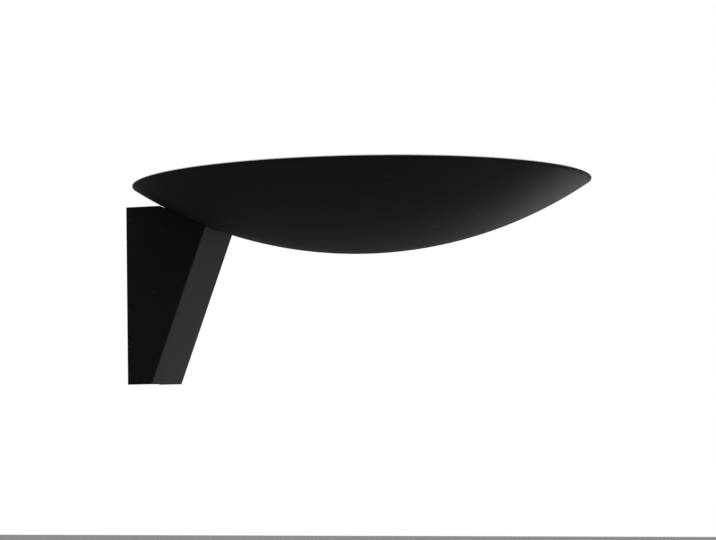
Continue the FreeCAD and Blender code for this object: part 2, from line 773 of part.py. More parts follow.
def make_lamp_pan():
    """Pressed aluminium pan that holds lampholders and reflector; its flange carries the glass."""
    body = new_body("lamp_pan")
    outer = pan_plan(body, "pan_plan", "0")
    pad(body, outer, "pan_depth", both_ways=False)
    round_edges(body, "pan_bottom_round", lambda edge: edge.BoundBox.ZMax < SLACK)
    rim = pan_plan(body, "pan_rim", "pan_flange", "pan_depth")
    pad(body, rim, "pan_wall", both_ways=False, backwards=True)
    inside = pan_plan(body, "pan_inside", "-pan_wall", "pan_depth")
    pocket(body, inside, "pan_depth - pan_wall", both_ways=False)
    drill_floor(body, "pan_stud_holes", "m_four_hole",
                [(signed(along, "stud_x"), signed(across, "stud_y")) for along, across in CORNERS])
    drill_floor(body, "pan_screw_holes", "m_three_hole",
                [(signed(side, place), "0") for side in SIDES for place in HOLDER_SCREWS])
    drill_floor(body, "pan_lead_holes", "bush_neck + running_gap",
                [(signed(side, "holder_middle"), "0") for side in SIDES])
    drill_floor(body, "pan_rivet_holes", "rivet_radius + running_gap",
                [(signed(side, "rivet_x"), "0") for side in SIDES])
    body.setExpression("Placement", spot(0, "-axis_depth", "pan_low"))
    behind = "-axis_depth + pan_width / 2 + 2 * pan_wall"
    bond = cylinder("pan_bond_hole", "m_three_hole", "6 * pan_wall",
                    spot(0, behind, "pan_low + bond_height", OUT_OF_WALL))
    return named(cut("lamp_pan_drilled", body, bond), "lamp_pan")


def pan_plan(body, name, reach, lift="0"):
    """The pan's outline seen from above, grown by a reach."""
    return rounded_rectangle(body, "XY_Plane", name, "pan_length / 2 + (%s)" % reach,
                             "pan_width / 2 + (%s)" % reach, "pan_round + (%s)" % reach, lift)


def drill_floor(body, name, radius, spots):
    """Holes through a floor that lies on the body's own XY plane."""
    pocket(body, circles(body, "XY_Plane", name, spots, radius), "4 * pan_wall")


def make_pan_fixings():
    """Weld studs on the dish's floor, with the spacers and nuts that carry the pan."""
    studs, spacers, nuts = [], [], []
    for index, (along, across) in enumerate(CORNERS):
        tag = "pan%d_" % index
        x = signed(along, "stud_x")
        y = "-axis_depth + " + signed(across, "stud_y")
        high = "pan_floor + m_four_nut_height + screw_tail"
        bar = cylinder(tag + "bar", "m_four_radius", high + " - dish_low", spot(x, y, "dish_low"))
        studs.append(common(tag + "stud", bar, ball(tag + "stud_end", "inner_radius - running_gap / 2")))
        tube = cylinder(tag + "tube", "spacer_radius", "pan_low - dish_low", spot(x, y, "dish_low"))
        trimmed = common(tag + "tube_end", tube, ball(tag + "tube_ball", "inner_radius - layer_gap"))
        bore = cylinder(tag + "tube_bore", "m_four_hole", "2 * dish_depth",
                        spot(x, y, "dish_low - dish_depth"))
        spacers.append(cut(tag + "spacer", trimmed, bore))
        hexes = hexagon(tag + "hex", "m_four_nut", "m_four_nut_height", spot(x, y, "pan_floor"))
        thread = cylinder(tag + "thread", "m_four_radius + running_gap", "3 * m_four_nut_height",
                          spot(x, y, "pan_floor - m_four_nut_height"))
        nuts.append(cut(tag + "nut", hexes, thread))
    return [group("pan_studs", studs), group("pan_spacers", spacers), group("pan_nuts", nuts)]


def make_reflector():
    """Trough rolled from thin aluminium: a flat floor, two bowed wings with lips, holder cut-outs."""
    body = new_body("reflector")
    inner_bow = "reflector_bow - reflector_thick"
    inner = "reflector_flat + sqrt((%s)^2 - (reflector_bow - reflector_top)^2)" % inner_bow
    side = outline(body, "YZ_Plane", "reflector_side", [
        ("-reflector_half_width", "reflector_rise", "reflector_bow", 1), ("-reflector_flat", "0"),
        ("reflector_flat", "0", "reflector_bow", 1), ("reflector_half_width", "reflector_rise"),
        ("reflector_edge", "reflector_rise"), ("reflector_edge", "reflector_top"),
        (inner, "reflector_top", inner_bow, -1), ("reflector_flat", "reflector_thick"),
        ("-reflector_flat", "reflector_thick", inner_bow, -1), (signed(-1, inner), "reflector_top"),
        ("-reflector_edge", "reflector_top"), ("-reflector_edge", "reflector_rise")])
    pad(body, side, "reflector_length")
    reach = "holder_width / 2 + holder_cutout_gap"
    near = "holder_face - holder_cutout_gap"
    far = "reflector_length / 2 + holder_cutout_gap"
    for sign, tag in ((1, "right"), (-1, "left")):
        left, right = (near, far) if sign > 0 else (signed(-1, far), signed(-1, near))
        notch = rectangle(body, "XY_Plane", "reflector_notch_" + tag, left, right, signed(-1, reach), reach)
        pocket(body, notch, "4 * reflector_rise")
    drill_floor(body, "reflector_rivet_holes", "rivet_radius + running_gap",
                [(signed(side, "rivet_x"), "0") for side in SIDES])
    body.setExpression("Placement", spot(0, "-axis_depth", "pan_floor"))
    return named(body, "reflector")


def make_rivets():
    """Two rivets through the reflector's floor and the pan's."""
    rivets = []
    for sign, tag in ((1, "right"), (-1, "left")):
        x = signed(sign, "rivet_x")
        top = "pan_floor + reflector_thick"
        head = cone("rivet_head_" + tag, "2 * rivet_radius", "rivet_radius", "rivet_radius / 2",
                    spot(x, "-axis_depth", top))
        shank = cylinder("rivet_shank_" + tag, "rivet_radius", "pan_wall + reflector_thick",
                         spot(x, "-axis_depth", "pan_low"))
        tail = cone("rivet_tail_" + tag, "rivet_radius", "1.5 * rivet_radius", "rivet_radius / 2",
                    spot(x, "-axis_depth", "pan_low - rivet_radius / 2"))
        rivets.append(fuse("rivet_" + tag, head, shank, tail))
    return group("reflector_rivets", rivets)


# ---------------------------------------------------------------- lampholders and contacts

def make_lampholder(label, sign, web):
    """Ceramic holder: a round-bottomed slot open above for the lamp's end, a web with the
    contact's bore, and a chamber behind it.
    """
    body = new_body(label)
    block = rectangle(body, "YZ_Plane", label + "_block", "-holder_width / 2", "holder_width / 2",
                      "pan_floor", "lamp_z + holder_above", signed(sign, "holder_face"))
    pad(body, block, "holder_depth", both_ways=False, backwards=sign < 0)
    low = value("pan_floor") + SLACK
    round_edges(body, "holder_round", lambda edge: edge.BoundBox.ZMax > low)
    slot_depth = "%s - holder_face + holder_cutout_gap" % web
    rounded = circles(body, "YZ_Plane", label + "_slot_floor", [("0", "lamp_z")],
                      "holder_slot_radius", signed(sign, web))
    pocket(body, rounded, slot_depth, both_ways=False, backwards=sign < 0)
    mouth = rectangle(body, "YZ_Plane", label + "_slot_mouth", "-holder_slot_radius", "holder_slot_radius",
                      "lamp_z", "lamp_z + 2 * holder_above", signed(sign, web))
    pocket(body, mouth, slot_depth, both_ways=False, backwards=sign < 0)
    chamber = circles(body, "YZ_Plane", label + "_chamber", [("0", "lamp_z")], "chamber_radius",
                      signed(sign, web + " + holder_web"))
    pocket(body, chamber, "holder_depth", both_ways=False, backwards=sign > 0)
    bore = circles(body, "YZ_Plane", label + "_bore", [("0", "lamp_z")], "contact_radius + 2 * running_gap")
    pocket(body, bore, "4 * lamp_length")
    holes = [(signed(sign, place), "0") for place in HOLDER_SCREWS]
    blind = circles(body, "XY_Plane", label + "_blind_holes", holes, "m_three_hole", "pan_floor")
    pocket(body, blind, "holder_screw_depth", both_ways=False, backwards=True)
    body.setExpression("Placement", spot(0, "-axis_depth", 0))
    return named(body, label)


def along_lamp(x):
    """A placement on the lamp's axis, with local +Z along +X."""
    return spot(x, "-axis_depth", "lamp_z", ALONG_X)


def make_holder_screws():
    """Screws up through the pan's floor into the holders."""
    screws = []
    for sign, tag in ((1, "right"), (-1, "left")):
        for index, place in enumerate(HOLDER_SCREWS):
            name = "holder_%s%d_" % (tag, index)
            x = signed(sign, place)
            head = cylinder(name + "head", "m_three_head", "m_three_head_height",
                            spot(x, "-axis_depth", "pan_low - m_three_head_height"))
            length = "pan_wall + holder_screw_depth - 2 * running_gap"
            shank = cylinder(name + "shank", "m_three_radius", length,
                             spot(x, "-axis_depth", "pan_low - running_gap"))
            screws.append(fuse(name + "screw", head, shank))
    return group("lampholder_screws", screws)


def make_contacts():
    """Fixed contact on the left, sprung plunger on the right, each with a collar behind the web."""
    left_collar = "-(left_web + holder_web + collar_thick)"
    fixed_pin = cylinder("fixed_pin", "contact_radius", "holder_back - contact_tip",
                         along_lamp("-holder_back"))
    fixed_collar = cylinder("fixed_collar", "collar_radius", "collar_thick", along_lamp(left_collar))
    fixed = named(fuse("fixed_contact_solid", fixed_pin, fixed_collar), "fixed_contact")
    tail = "holder_back + 3 * running_gap"
    plunger_pin = cylinder("plunger_pin", "contact_radius", "%s - contact_tip" % tail,
                           along_lamp("contact_tip"))
    plunger_collar = cylinder("plunger_collar", "collar_radius", "collar_thick", along_lamp("collar_face"))
    plunger = named(fuse("contact_plunger_solid", plunger_pin, plunger_collar), "contact_plunger")
    plate = box("spring_cap_plate", "spring_cap_thick", "holder_width - 2 * holder_round",
                "2 * holder_above - holder_round", "holder_back + spring_cap_thick / 2", "-axis_depth",
                "lamp_z - holder_above")
    hole = cylinder("spring_cap_hole", "contact_radius + 2 * running_gap", "4 * spring_cap_thick",
                    along_lamp("holder_back - spring_cap_thick"))
    cap = named(cut("spring_cap_cut", plate, hole), "spring_cap")
    return [fixed, plunger, cap]


def six_sided(radius, middle, way):
    """A six-sided section for thin wire, square to a direction."""
    return Part.makePolygon(Part.makeCircle(radius, middle, way).discretize(7))


def make_contact_spring():
    """Coil spring between the plunger's collar and the cap."""
    wire = value("spring_wire")
    length = value("holder_back - spring_low") - 2 * wire
    radius = (value("collar_radius") + value("contact_radius")) / 2
    helix = Part.makeHelix(length / value("spring_turns"), length, radius)
    section = six_sided(wire, FreeCAD.Vector(radius, 0, 0), FreeCAD.Vector(0, 1, 0))
    coil = Part.Wire(helix.Edges).makePipeShell([section], True, True)
    spring = doc.addObject("Part::Feature", "contact_spring")
    spring.Shape = coil
    spring.setExpression("Placement", along_lamp("spring_low + spring_wire"))
    return spring


# ---------------------------------------------------------------- lamp and glass

def make_lamp():
    """Linear halogen lamp: hollow quartz tube, a ceramic cap with a contact recess on each end,
    and a filament on its supports.
    """
    half = "(lamp_half - cap_length)"
    tube = cylinder("tube_outside", "tube_radius", "2 * " + half, along_lamp("-" + half))
    inside = cylinder("tube_inside", "tube_radius - tube_wall", "2 * (%s - tube_wall)" % half,
                      along_lamp("-(%s - tube_wall)" % half))
    glass = named(cut("tube_cut", tube, inside), "lamp_tube")
    caps = []
    for sign, tag in ((1, "right"), (-1, "left")):
        start = "lamp_half - cap_length" if sign > 0 else "-lamp_half"
        outer = cylinder("cap_solid_" + tag, "cap_radius", "cap_length", along_lamp(start))
        mouth = "lamp_half - contact_recess" if sign > 0 else "-lamp_half - contact_recess"
        recess = cylinder("cap_recess_" + tag, "recess_radius", "2 * contact_recess", along_lamp(mouth))
        caps.append(cut("cap_" + tag, outer, recess))
    reach = "(%s - tube_wall - running_gap)" % half
    wire = cylinder("filament_wire", "filament_radius", "2 * " + reach, along_lamp("-" + reach))
    supports = []
    for side, place in (("left", "-support_pitch"), ("middle", "0"), ("right", "support_pitch")):
        supports.append(cylinder("filament_support_" + side, "tube_radius - tube_wall - 3 * running_gap",
                                 "filament_radius", along_lamp(place + " - filament_radius / 2")))
    filament = named(fuse("filament_solid", wire, *supports), "filament")
    return [glass, group("lamp_end_caps", caps), filament]


def make_glass():
    """Loose safety glass, its corners rounded and its edges bevelled."""
    body = new_body("glass_cover")
    plan = rectangle(body, "XY_Plane", "glass_plan", "-glass_length / 2", "glass_length / 2",
                     "-glass_width / 2", "glass_width / 2")
    pad(body, plan, "glass_thick", both_ways=False)
    upright = runs_along((0, 0, 1))
    round_edges(body, "glass_round", upright)
    round_edges(body, "glass_bevel", lambda edge: not upright(edge), "PartDesign::Chamfer")
    body.setExpression("Placement", spot(0, "-axis_depth", "glass_low"))
    return named(body, "glass_cover")


def make_glass_seats():
    """Silicone corners on the pan's flange: a pad under the glass and a rim round its corner."""
    seats = []
    edge_x = "glass_length / 2 + glass_side_gap"
    edge_y = "glass_width / 2 + glass_side_gap"
    for index, (along, across) in enumerate(CORNERS):
        tag = "seat_corner%d_" % index
        x = signed(along, edge_x + " + seat_wall - seat_leg / 2")
        y = "-axis_depth + " + signed(across, edge_y + " + seat_wall - seat_leg / 2")
        block = box(tag + "block", "seat_leg", "seat_leg", "seat_thick + seat_rise", x, y, "pan_high")
        room_x = signed(along, edge_x + " - seat_leg / 2")
        room_y = "-axis_depth + " + signed(across, edge_y + " - seat_leg / 2")
        room = box(tag + "room", "seat_leg", "seat_leg", "2 * seat_rise", room_x, room_y,
                   "pan_high + seat_thick")
        open_x = signed(along, "pan_length / 2 - pan_wall - seat_leg / 2")
        open_y = "-axis_depth + " + signed(across, "pan_width / 2 - pan_wall - seat_leg / 2")
        inner = box(tag + "inner", "seat_leg", "seat_leg", "4 * seat_rise", open_x, open_y,
                    "pan_high - seat_rise")
        seats.append(cut(tag + "cut", block, room, inner))
    return group("glass_corner_seats", seats)


# ---------------------------------------------------------------- supply side

POLES = ["-pole_pitch", "0", "pole_pitch"]
POLE_SCREWS = [(x, z) for x in POLES for z in ("block_screw_low", "block_screw_high")]
BLOCK_MOUNTS = [("block_mount_x", "block_z"), ("-block_mount_x", "block_z")]
CLAMP_MOUNTS = [("clamp_screw_x", "clamp_z"), ("-clamp_screw_x", "clamp_z")]


def make_terminal_block():
    """Three-pole moulded block on the plate: wire bores down through it, screw bores in front."""
    body = new_body("terminal_block")
    plan = rectangle(body, "XY_Plane", "block_plan", "-block_length / 2", "block_length / 2",
                     "-block_face", "-plate_thick", "block_low")
    pad(body, plan, "block_height", both_ways=False)
    face = SLACK - value("block_face")
    round_edges(body, "block_round", lambda edge: edge.BoundBox.YMax < face)
    wires = circles(body, "XY_Plane", "block_wire_bores", [(x, "-block_middle") for x in POLES], "pole_bore")
    pocket(body, wires, "8 * block_height")
    screws = circles(body, "XZ_Plane", "block_screw_bores", POLE_SCREWS, "pole_screw_bore", "block_face")
    pocket(body, screws, "block_depth / 2", both_ways=False)
    mounts = circles(body, "XZ_Plane", "block_mount_bores", BLOCK_MOUNTS, "m_three_hole")
    pocket(body, mounts, "8 * block_depth")
    heads = circles(body, "XZ_Plane", "block_head_bores", BLOCK_MOUNTS,
                    "m_three_head + 2 * running_gap", "block_face")
    pocket(body, heads, "block_screw_sink", both_ways=False)
    return named(body, "terminal_block")


def screw_to_plate(name, x, z, face, bite):
    """Small slotted screw towards the wall: head on a face, shank into the plate."""
    head = cylinder(name + "_head", "m_three_head", "m_three_head_height",
                    spot(x, signed(-1, face), z, OUT_OF_WALL))
    shank = cylinder(name + "_shank", "m_three_radius", bite,
                     spot(x, "%s - (%s)" % (bite, face), z, OUT_OF_WALL))
    slot = box(name + "_slot", "3 * m_three_head", "socket_depth", "m_three_radius / 2", x,
               "-(%s + m_three_head_height)" % face, "%s - m_three_radius / 4" % z)
    return cut(name, fuse(name + "_solid", head, shank), slot)


def make_block_screws():
    """Clamping screws in the poles, and the two screws that hold the block."""
    clamps = []
    for index, (x, z) in enumerate(POLE_SCREWS):
        name = "pole_screw%d" % index
        bar = cylinder(name + "_bar", "pole_screw_bore - running_gap",
                       "block_depth / 2 - pole_bore - socket_depth",
                       spot(x, "-(block_middle + pole_bore)", z, OUT_OF_WALL))
        slot = box(name + "_slot", "3 * pole_screw_bore", "socket_depth", "m_three_radius / 2", x,
                   "-(block_face - socket_depth)", "%s - m_three_radius / 4" % z)
        clamps.append(cut(name, bar, slot))
    face = "block_face - block_screw_sink"
    holders = [screw_to_plate("block_screw%d" % index, x, z, face, face + " - running_gap")
               for index, (x, z) in enumerate(BLOCK_MOUNTS)]
    return [group("terminal_screws", clamps), group("terminal_fixing_screws", holders)]


def make_cable_clamp():
    """Strap arched over the supply cable, just above the cable entry."""
    body = new_body("cable_clamp")
    face = "-plate_thick"
    out = "-(plate_thick + clamp_thick)"
    reach = "clamp_length / 2"
    bow = "clamp_bow + clamp_thick"
    shoulder = "sqrt((%s)^2 - (clamp_centre - plate_thick - clamp_thick)^2)" % bow
    strap = outline(body, "XY_Plane", "clamp_strap", [
        ("-" + reach, out), ("-" + shoulder, out, bow, 1), (shoulder, out), (reach, out), (reach, face),
        ("clamp_arch", face, "clamp_bow", -1), ("-clamp_arch", face), ("-" + reach, face)], "clamp_low")
    pad(body, strap, "clamp_height", both_ways=False)
    holes = circles(body, "XZ_Plane", "clamp_holes", CLAMP_MOUNTS, "m_three_hole")
    pocket(body, holes, "8 * clamp_bow")
    return named(body, "cable_clamp")


def make_clamp_screws():
    """The two screws that hold the strap down."""
    face = "plate_thick + clamp_thick"
    screws = [screw_to_plate("clamp_screw%d" % index, x, z, face, face + " - running_gap")
              for index, (x, z) in enumerate(CLAMP_MOUNTS)]
    return group("clamp_screws", screws)


def make_earth_parts():
    """Weld stud on the plate, with the ring of the earth lead's tag held by a nut."""
    face = spot(0, "-plate_thick", "earth_z", OUT_OF_WALL)
    stud = named(cylinder("earth_stud_bar", "m_four_radius", "earth_stud_length", face), "earth_stud")
    ring = cylinder("earth_ring_disc", "earth_ring", "earth_ring_thick", face)
    neck = box("earth_neck_strip", "2 * earth_barrel", "earth_ring_thick", "earth_neck + earth_barrel",
               0, "-(plate_thick + earth_ring_thick / 2)", "barrel_high - earth_barrel")
    barrel_y = "-(plate_thick + earth_barrel + running_gap)"
    barrel = cylinder("earth_barrel_tube", "earth_barrel", "earth_barrel_length",
                      spot(0, barrel_y, "barrel_high - earth_barrel_length"))
    wall = spot(0, 0, "earth_z", OUT_OF_WALL)
    hole = cylinder("earth_ring_hole", "m_four_radius + running_gap", "8 * earth_ring_thick", wall)
    tag = named(cut("earth_tag_cut", fuse("earth_tag_solid", ring, neck, barrel), hole), "earth_tag")
    hexes = hexagon("earth_nut_hex", "m_four_nut", "m_four_nut_height",
                    spot(0, "-(plate_thick + earth_ring_thick)", "earth_z", OUT_OF_WALL))
    thread = cylinder("earth_nut_thread", "m_four_radius + running_gap", "8 * m_four_nut_height", wall)
    nut = named(cut("earth_nut_cut", hexes, thread), "earth_nut")
    return [stud, tag, nut]


def make_bond_screw():
    """Screw and tag that bond the pan's rear wall to earth."""
    wall_y = "-axis_depth + pan_width / 2"
    head = cylinder("bond_head", "m_three_head", "m_three_head_height",
                    spot(0, wall_y + " + m_three_head_height", "pan_low + bond_height", OUT_OF_WALL))
    shank = cylinder("bond_shank", "m_three_radius", "pan_wall + m_three_head_height",
                     spot(0, wall_y + " + running_gap", "pan_low + bond_height", OUT_OF_WALL))
    return named(fuse("bond_screw_solid", head, shank), "bond_screw")


# ---------------------------------------------------------------- wiring

# Routes of the leads, chosen by hand: x, y, z in the frame.  The neutral mirrors the live.
LIVE_ROUTE = [
    (62.8, -181.5, 47), (62.8, -181.5, 41.9), (60.3, -176.4, 38.5), (45.2, -152.4, 38.5),
    (18.8, -121.2, 39.5), (2, -92.6, 47.3), (2, -73.8, 58.2), (2, -52, 68.1), (2, -40, 42),
    (6.5, -26.5, 33), (10, -12.5, 29), (10, -9.5, 21), (10, -9.5, 12)]
NEUTRAL_ROUTE = [(-x, y, z) for x, y, z in LIVE_ROUTE]
EARTH_ROUTE = [
    (0, -127.6, 54), (0, -111.8, 51), (0, -92.6, 47.3), (0, -73.8, 58.2), (0, -52, 68.1),
    (0, -40, 42), (0, -25.7, 26), (0, -11.7, 18), (0, -3.7, 20), (0, -3.7, 27)]

# How much of the shorter of two runs the bend between them takes.
BEND_SHARE = 0.45


def bent_path(points):
    """Straight runs through points, joined by tangent arcs as large as the runs allow."""
    edges = []
    start = points[0]
    for before, corner, after in zip(points, points[1:], points[2:]):
        to_corner = corner - before
        onward = after - corner
        setback = BEND_SHARE * min(to_corner.Length, onward.Length)
        leave = corner - FreeCAD.Vector(to_corner).normalize() * setback
        join = corner + FreeCAD.Vector(onward).normalize() * setback
        radius = setback / math.tan(to_corner.getAngle(onward) / 2)
        inward = ((leave + join) * 0.5 - corner).normalize()
        middle = corner + inward * (math.hypot(radius, setback) - radius)
        edges.append(Part.LineSegment(start, leave).toShape())
        edges.append(Part.Arc(leave, middle, join).toShape())
        start = join
        print("  bend radius %.1f mm" % radius)
    edges.append(Part.LineSegment(start, points[-1]).toShape())
    return Part.Wire(edges)


def make_wire(label, route):
    """One sleeved lead along its route."""
    points = [FreeCAD.Vector(*point) for point in route]
    print(label)
    path = bent_path(points)
    section = six_sided(value("sleeve_radius"), points[0], points[1] - points[0])
    lead = doc.addObject("Part::Feature", label)
    lead.Shape = path.makePipeShell([section], True, False)
    expected = Part.Face(section).Area * path.Length
    print("  length %.0f mm, volume ratio %.4f" % (path.Length, lead.Shape.Volume / expected))
    return lead


def make_wires():
    """Live and neutral from the holders under the pan, and the earth bond, to the wall plate."""
    routes = (("live_wire", LIVE_ROUTE), ("neutral_wire", NEUTRAL_ROUTE), ("earth_wire", EARTH_ROUTE))
    return [make_wire(label, route) for label, route in routes]


def make_wire_bushes():
    """Soft bushes in the pan's floor under each holder, round the leads."""
    bushes = []
    for sign, tag in ((1, "right"), (-1, "left")):
        name = "wire_bush_" + tag
        x = signed(sign, "holder_middle")
        flange = cylinder(name + "_flange", "bush_flange", "bush_flange_thick",
                          spot(x, "-axis_depth", "pan_low - bush_flange_thick"))
        neck = cylinder(name + "_neck", "bush_neck", "pan_wall", spot(x, "-axis_depth", "pan_low"))
        bore = cylinder(name + "_bore", "bush_bore", "4 * pan_wall",
                        spot(x, "-axis_depth", "pan_low - 2 * pan_wall"))
        bushes.append(cut(name, fuse(name + "_solid", flange, neck), bore))
    return group("wire_bushes", bushes)


# ---------------------------------------------------------------- assembly

def drill_plate(plate):
    """Tapped holes in the plate for the block's screws and the clamp's."""
    drills = [cylinder("plate_tap%d" % index, "m_three_hole", "4 * plate_thick",
                       spot(x, "plate_thick", z, OUT_OF_WALL))
              for index, (x, z) in enumerate(BLOCK_MOUNTS + CLAMP_MOUNTS)]
    plate.Label = "wall_plate_pressed"
    return named(cut("wall_plate_tapped", plate, *drills), "wall_plate")


def make_everything():
    """Every piece, from the wall outwards."""
    pieces = [drill_plate(make_wall_plate()), make_cable_grommet(), make_wedge_body(), make_body_screw()]
    pieces += make_saddle_layers() + make_seat_fasteners() + [make_lead_grommet(), make_dish()]
    pieces += [make_lamp_pan()] + make_pan_fixings() + [make_reflector(), make_rivets()]
    pieces += [make_lampholder("lampholder_left", -1, "left_web")]
    pieces += [make_lampholder("lampholder_right", 1, "right_web")]
    pieces += [make_holder_screws()] + make_contacts() + [make_contact_spring()] + make_lamp()
    pieces += [make_glass(), make_glass_seats(), make_terminal_block()] + make_block_screws()
    pieces += [make_cable_clamp(), make_clamp_screws()] + make_earth_parts() + [make_bond_screw()]
    pieces += make_wires() + [make_wire_bushes()]
    return pieces


def check(pieces):
    """Every object has to be sound, and every piece a valid solid, before anything is written."""
    doc.recompute()
    for thing in doc.Objects:
        if "Invalid" in thing.State or "Error" in thing.State:
            raise RuntimeError("%s is %s" % (thing.Label, thing.State))
    for piece in pieces:
        shape = piece.Shape
        if shape.isNull() or not shape.isValid() or not shape.Solids:
            raise RuntimeError("%s is not a valid solid" % piece.Label)


pieces = make_everything()
check(pieces)
os.makedirs("parts", exist_ok=True)
for piece in pieces:
    piece.Shape.exportStep("parts/%s.step" % piece.Label)
    print("%-24s %d solids, %9.1f mm3" % (piece.Label, len(piece.Shape.Solids), piece.Shape.Volume))
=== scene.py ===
import json
import math
import bmesh
import bpy
from mathutils import Matrix, Vector, noise


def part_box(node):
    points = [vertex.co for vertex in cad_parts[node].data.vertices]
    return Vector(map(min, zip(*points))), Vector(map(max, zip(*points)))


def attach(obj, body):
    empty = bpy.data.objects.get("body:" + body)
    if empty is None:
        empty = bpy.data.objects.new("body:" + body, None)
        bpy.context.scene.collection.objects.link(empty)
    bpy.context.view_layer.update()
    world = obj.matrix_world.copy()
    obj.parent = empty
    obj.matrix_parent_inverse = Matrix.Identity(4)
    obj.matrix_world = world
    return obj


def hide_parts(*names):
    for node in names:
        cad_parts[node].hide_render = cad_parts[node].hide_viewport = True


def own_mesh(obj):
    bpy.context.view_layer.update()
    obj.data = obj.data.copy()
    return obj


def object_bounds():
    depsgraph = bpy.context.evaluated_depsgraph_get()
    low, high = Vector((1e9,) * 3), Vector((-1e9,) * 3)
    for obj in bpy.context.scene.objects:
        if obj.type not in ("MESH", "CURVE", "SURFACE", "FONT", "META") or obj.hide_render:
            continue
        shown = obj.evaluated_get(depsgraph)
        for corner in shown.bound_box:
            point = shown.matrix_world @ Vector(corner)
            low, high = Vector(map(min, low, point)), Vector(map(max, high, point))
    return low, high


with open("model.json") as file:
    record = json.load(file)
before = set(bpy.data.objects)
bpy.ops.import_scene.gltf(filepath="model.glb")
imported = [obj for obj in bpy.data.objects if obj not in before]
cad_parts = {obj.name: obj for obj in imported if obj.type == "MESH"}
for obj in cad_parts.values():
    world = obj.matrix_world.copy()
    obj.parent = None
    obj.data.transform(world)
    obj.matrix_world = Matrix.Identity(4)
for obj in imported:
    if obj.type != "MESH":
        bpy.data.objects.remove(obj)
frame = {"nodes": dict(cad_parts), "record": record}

cad_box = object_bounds()
nodes = frame["nodes"]
scene = bpy.context.scene

# ---------------------------------------------------------------- camera
# The photograph looks from the light's left side, a little below the rim, with a long
# lens, so the dish hides its own inside and only the dish and its body show.

dish_low, dish_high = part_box("dish")
dish_axis = (dish_low.y + dish_high.y) / 2
bowl_depth = 0.0516
rim_middle = Vector((0, dish_axis, dish_low.z + bowl_depth))
view_turn = math.radians(-74.25)
view_distance = 1.395
view_drop = 0.1604
aim_turn = math.radians(-74.08)
aim_rise = math.radians(3.92)
camera_roll = math.radians(1.07)
lens_length = 92.0
sensor_width = 36
farthest_seen = 50

stand = rim_middle + Vector((math.sin(view_turn), -math.cos(view_turn), 0)) * view_distance
stand.z -= view_drop
level_right = Vector((math.cos(aim_turn), math.sin(aim_turn), 0))
forward = Vector((0, 0, 1)).cross(level_right) * math.cos(aim_rise) + Vector((0, 0, math.sin(aim_rise)))
level_up = level_right.cross(forward)
right = level_right * math.cos(camera_roll) - level_up * math.sin(camera_roll)
upward = level_right * math.sin(camera_roll) + level_up * math.cos(camera_roll)

camera = bpy.data.objects.new("camera", bpy.data.cameras.new("camera"))
camera.data.sensor_width = sensor_width
camera.data.sensor_fit = "HORIZONTAL"
camera.data.lens = lens_length
camera.data.clip_end = farthest_seen
camera.matrix_world = Matrix.Translation(stand) @ Matrix((right, upward, -forward)).transposed().to_4x4()
scene.collection.objects.link(camera)
scene.camera = camera
scene.view_settings.view_transform = "Standard"


# ---------------------------------------------------------------- dish
# A shallow bowl spun from 1.5 mm sheet steel, its edge trimmed and broken.  It is powder
# coated satin black outside and satin white inside, and drilled for its seat.

class Field:
    """A shader socket that can stand in a sum: every operation adds its own Math node."""

    def __init__(self, finish, socket):
        self.finish = finish
        self.socket = socket

    def maths(self, operation, *others, before=()):
        values = dict(enumerate(tuple(before) + (self,) + others))
        return self.finish.node("ShaderNodeMath", {"operation": operation}, values)

    def __add__(self, other):
        return self.maths("ADD", other)

    def __sub__(self, other):
        return self.maths("SUBTRACT", other)

    def __rsub__(self, other):
        return self.maths("SUBTRACT", before=(other,))

    def __mul__(self, other):
        return self.maths("MULTIPLY", other)

    def __truediv__(self, other):
        return self.maths("DIVIDE", other)

    __radd__ = __add__
    __rmul__ = __mul__

    def clamped(self):
        return self.maths("MAXIMUM", 0.0).maths("MINIMUM", 1.0)

    def over(self, edge, softness):
        """0 below an edge, 1 above it, with a soft step between."""
        return ((self - edge) / softness + 0.5).clamped()

    def wave(self):
        """A sine between 0 and 1."""
        return self.maths("SINE") * 0.5 + 0.5


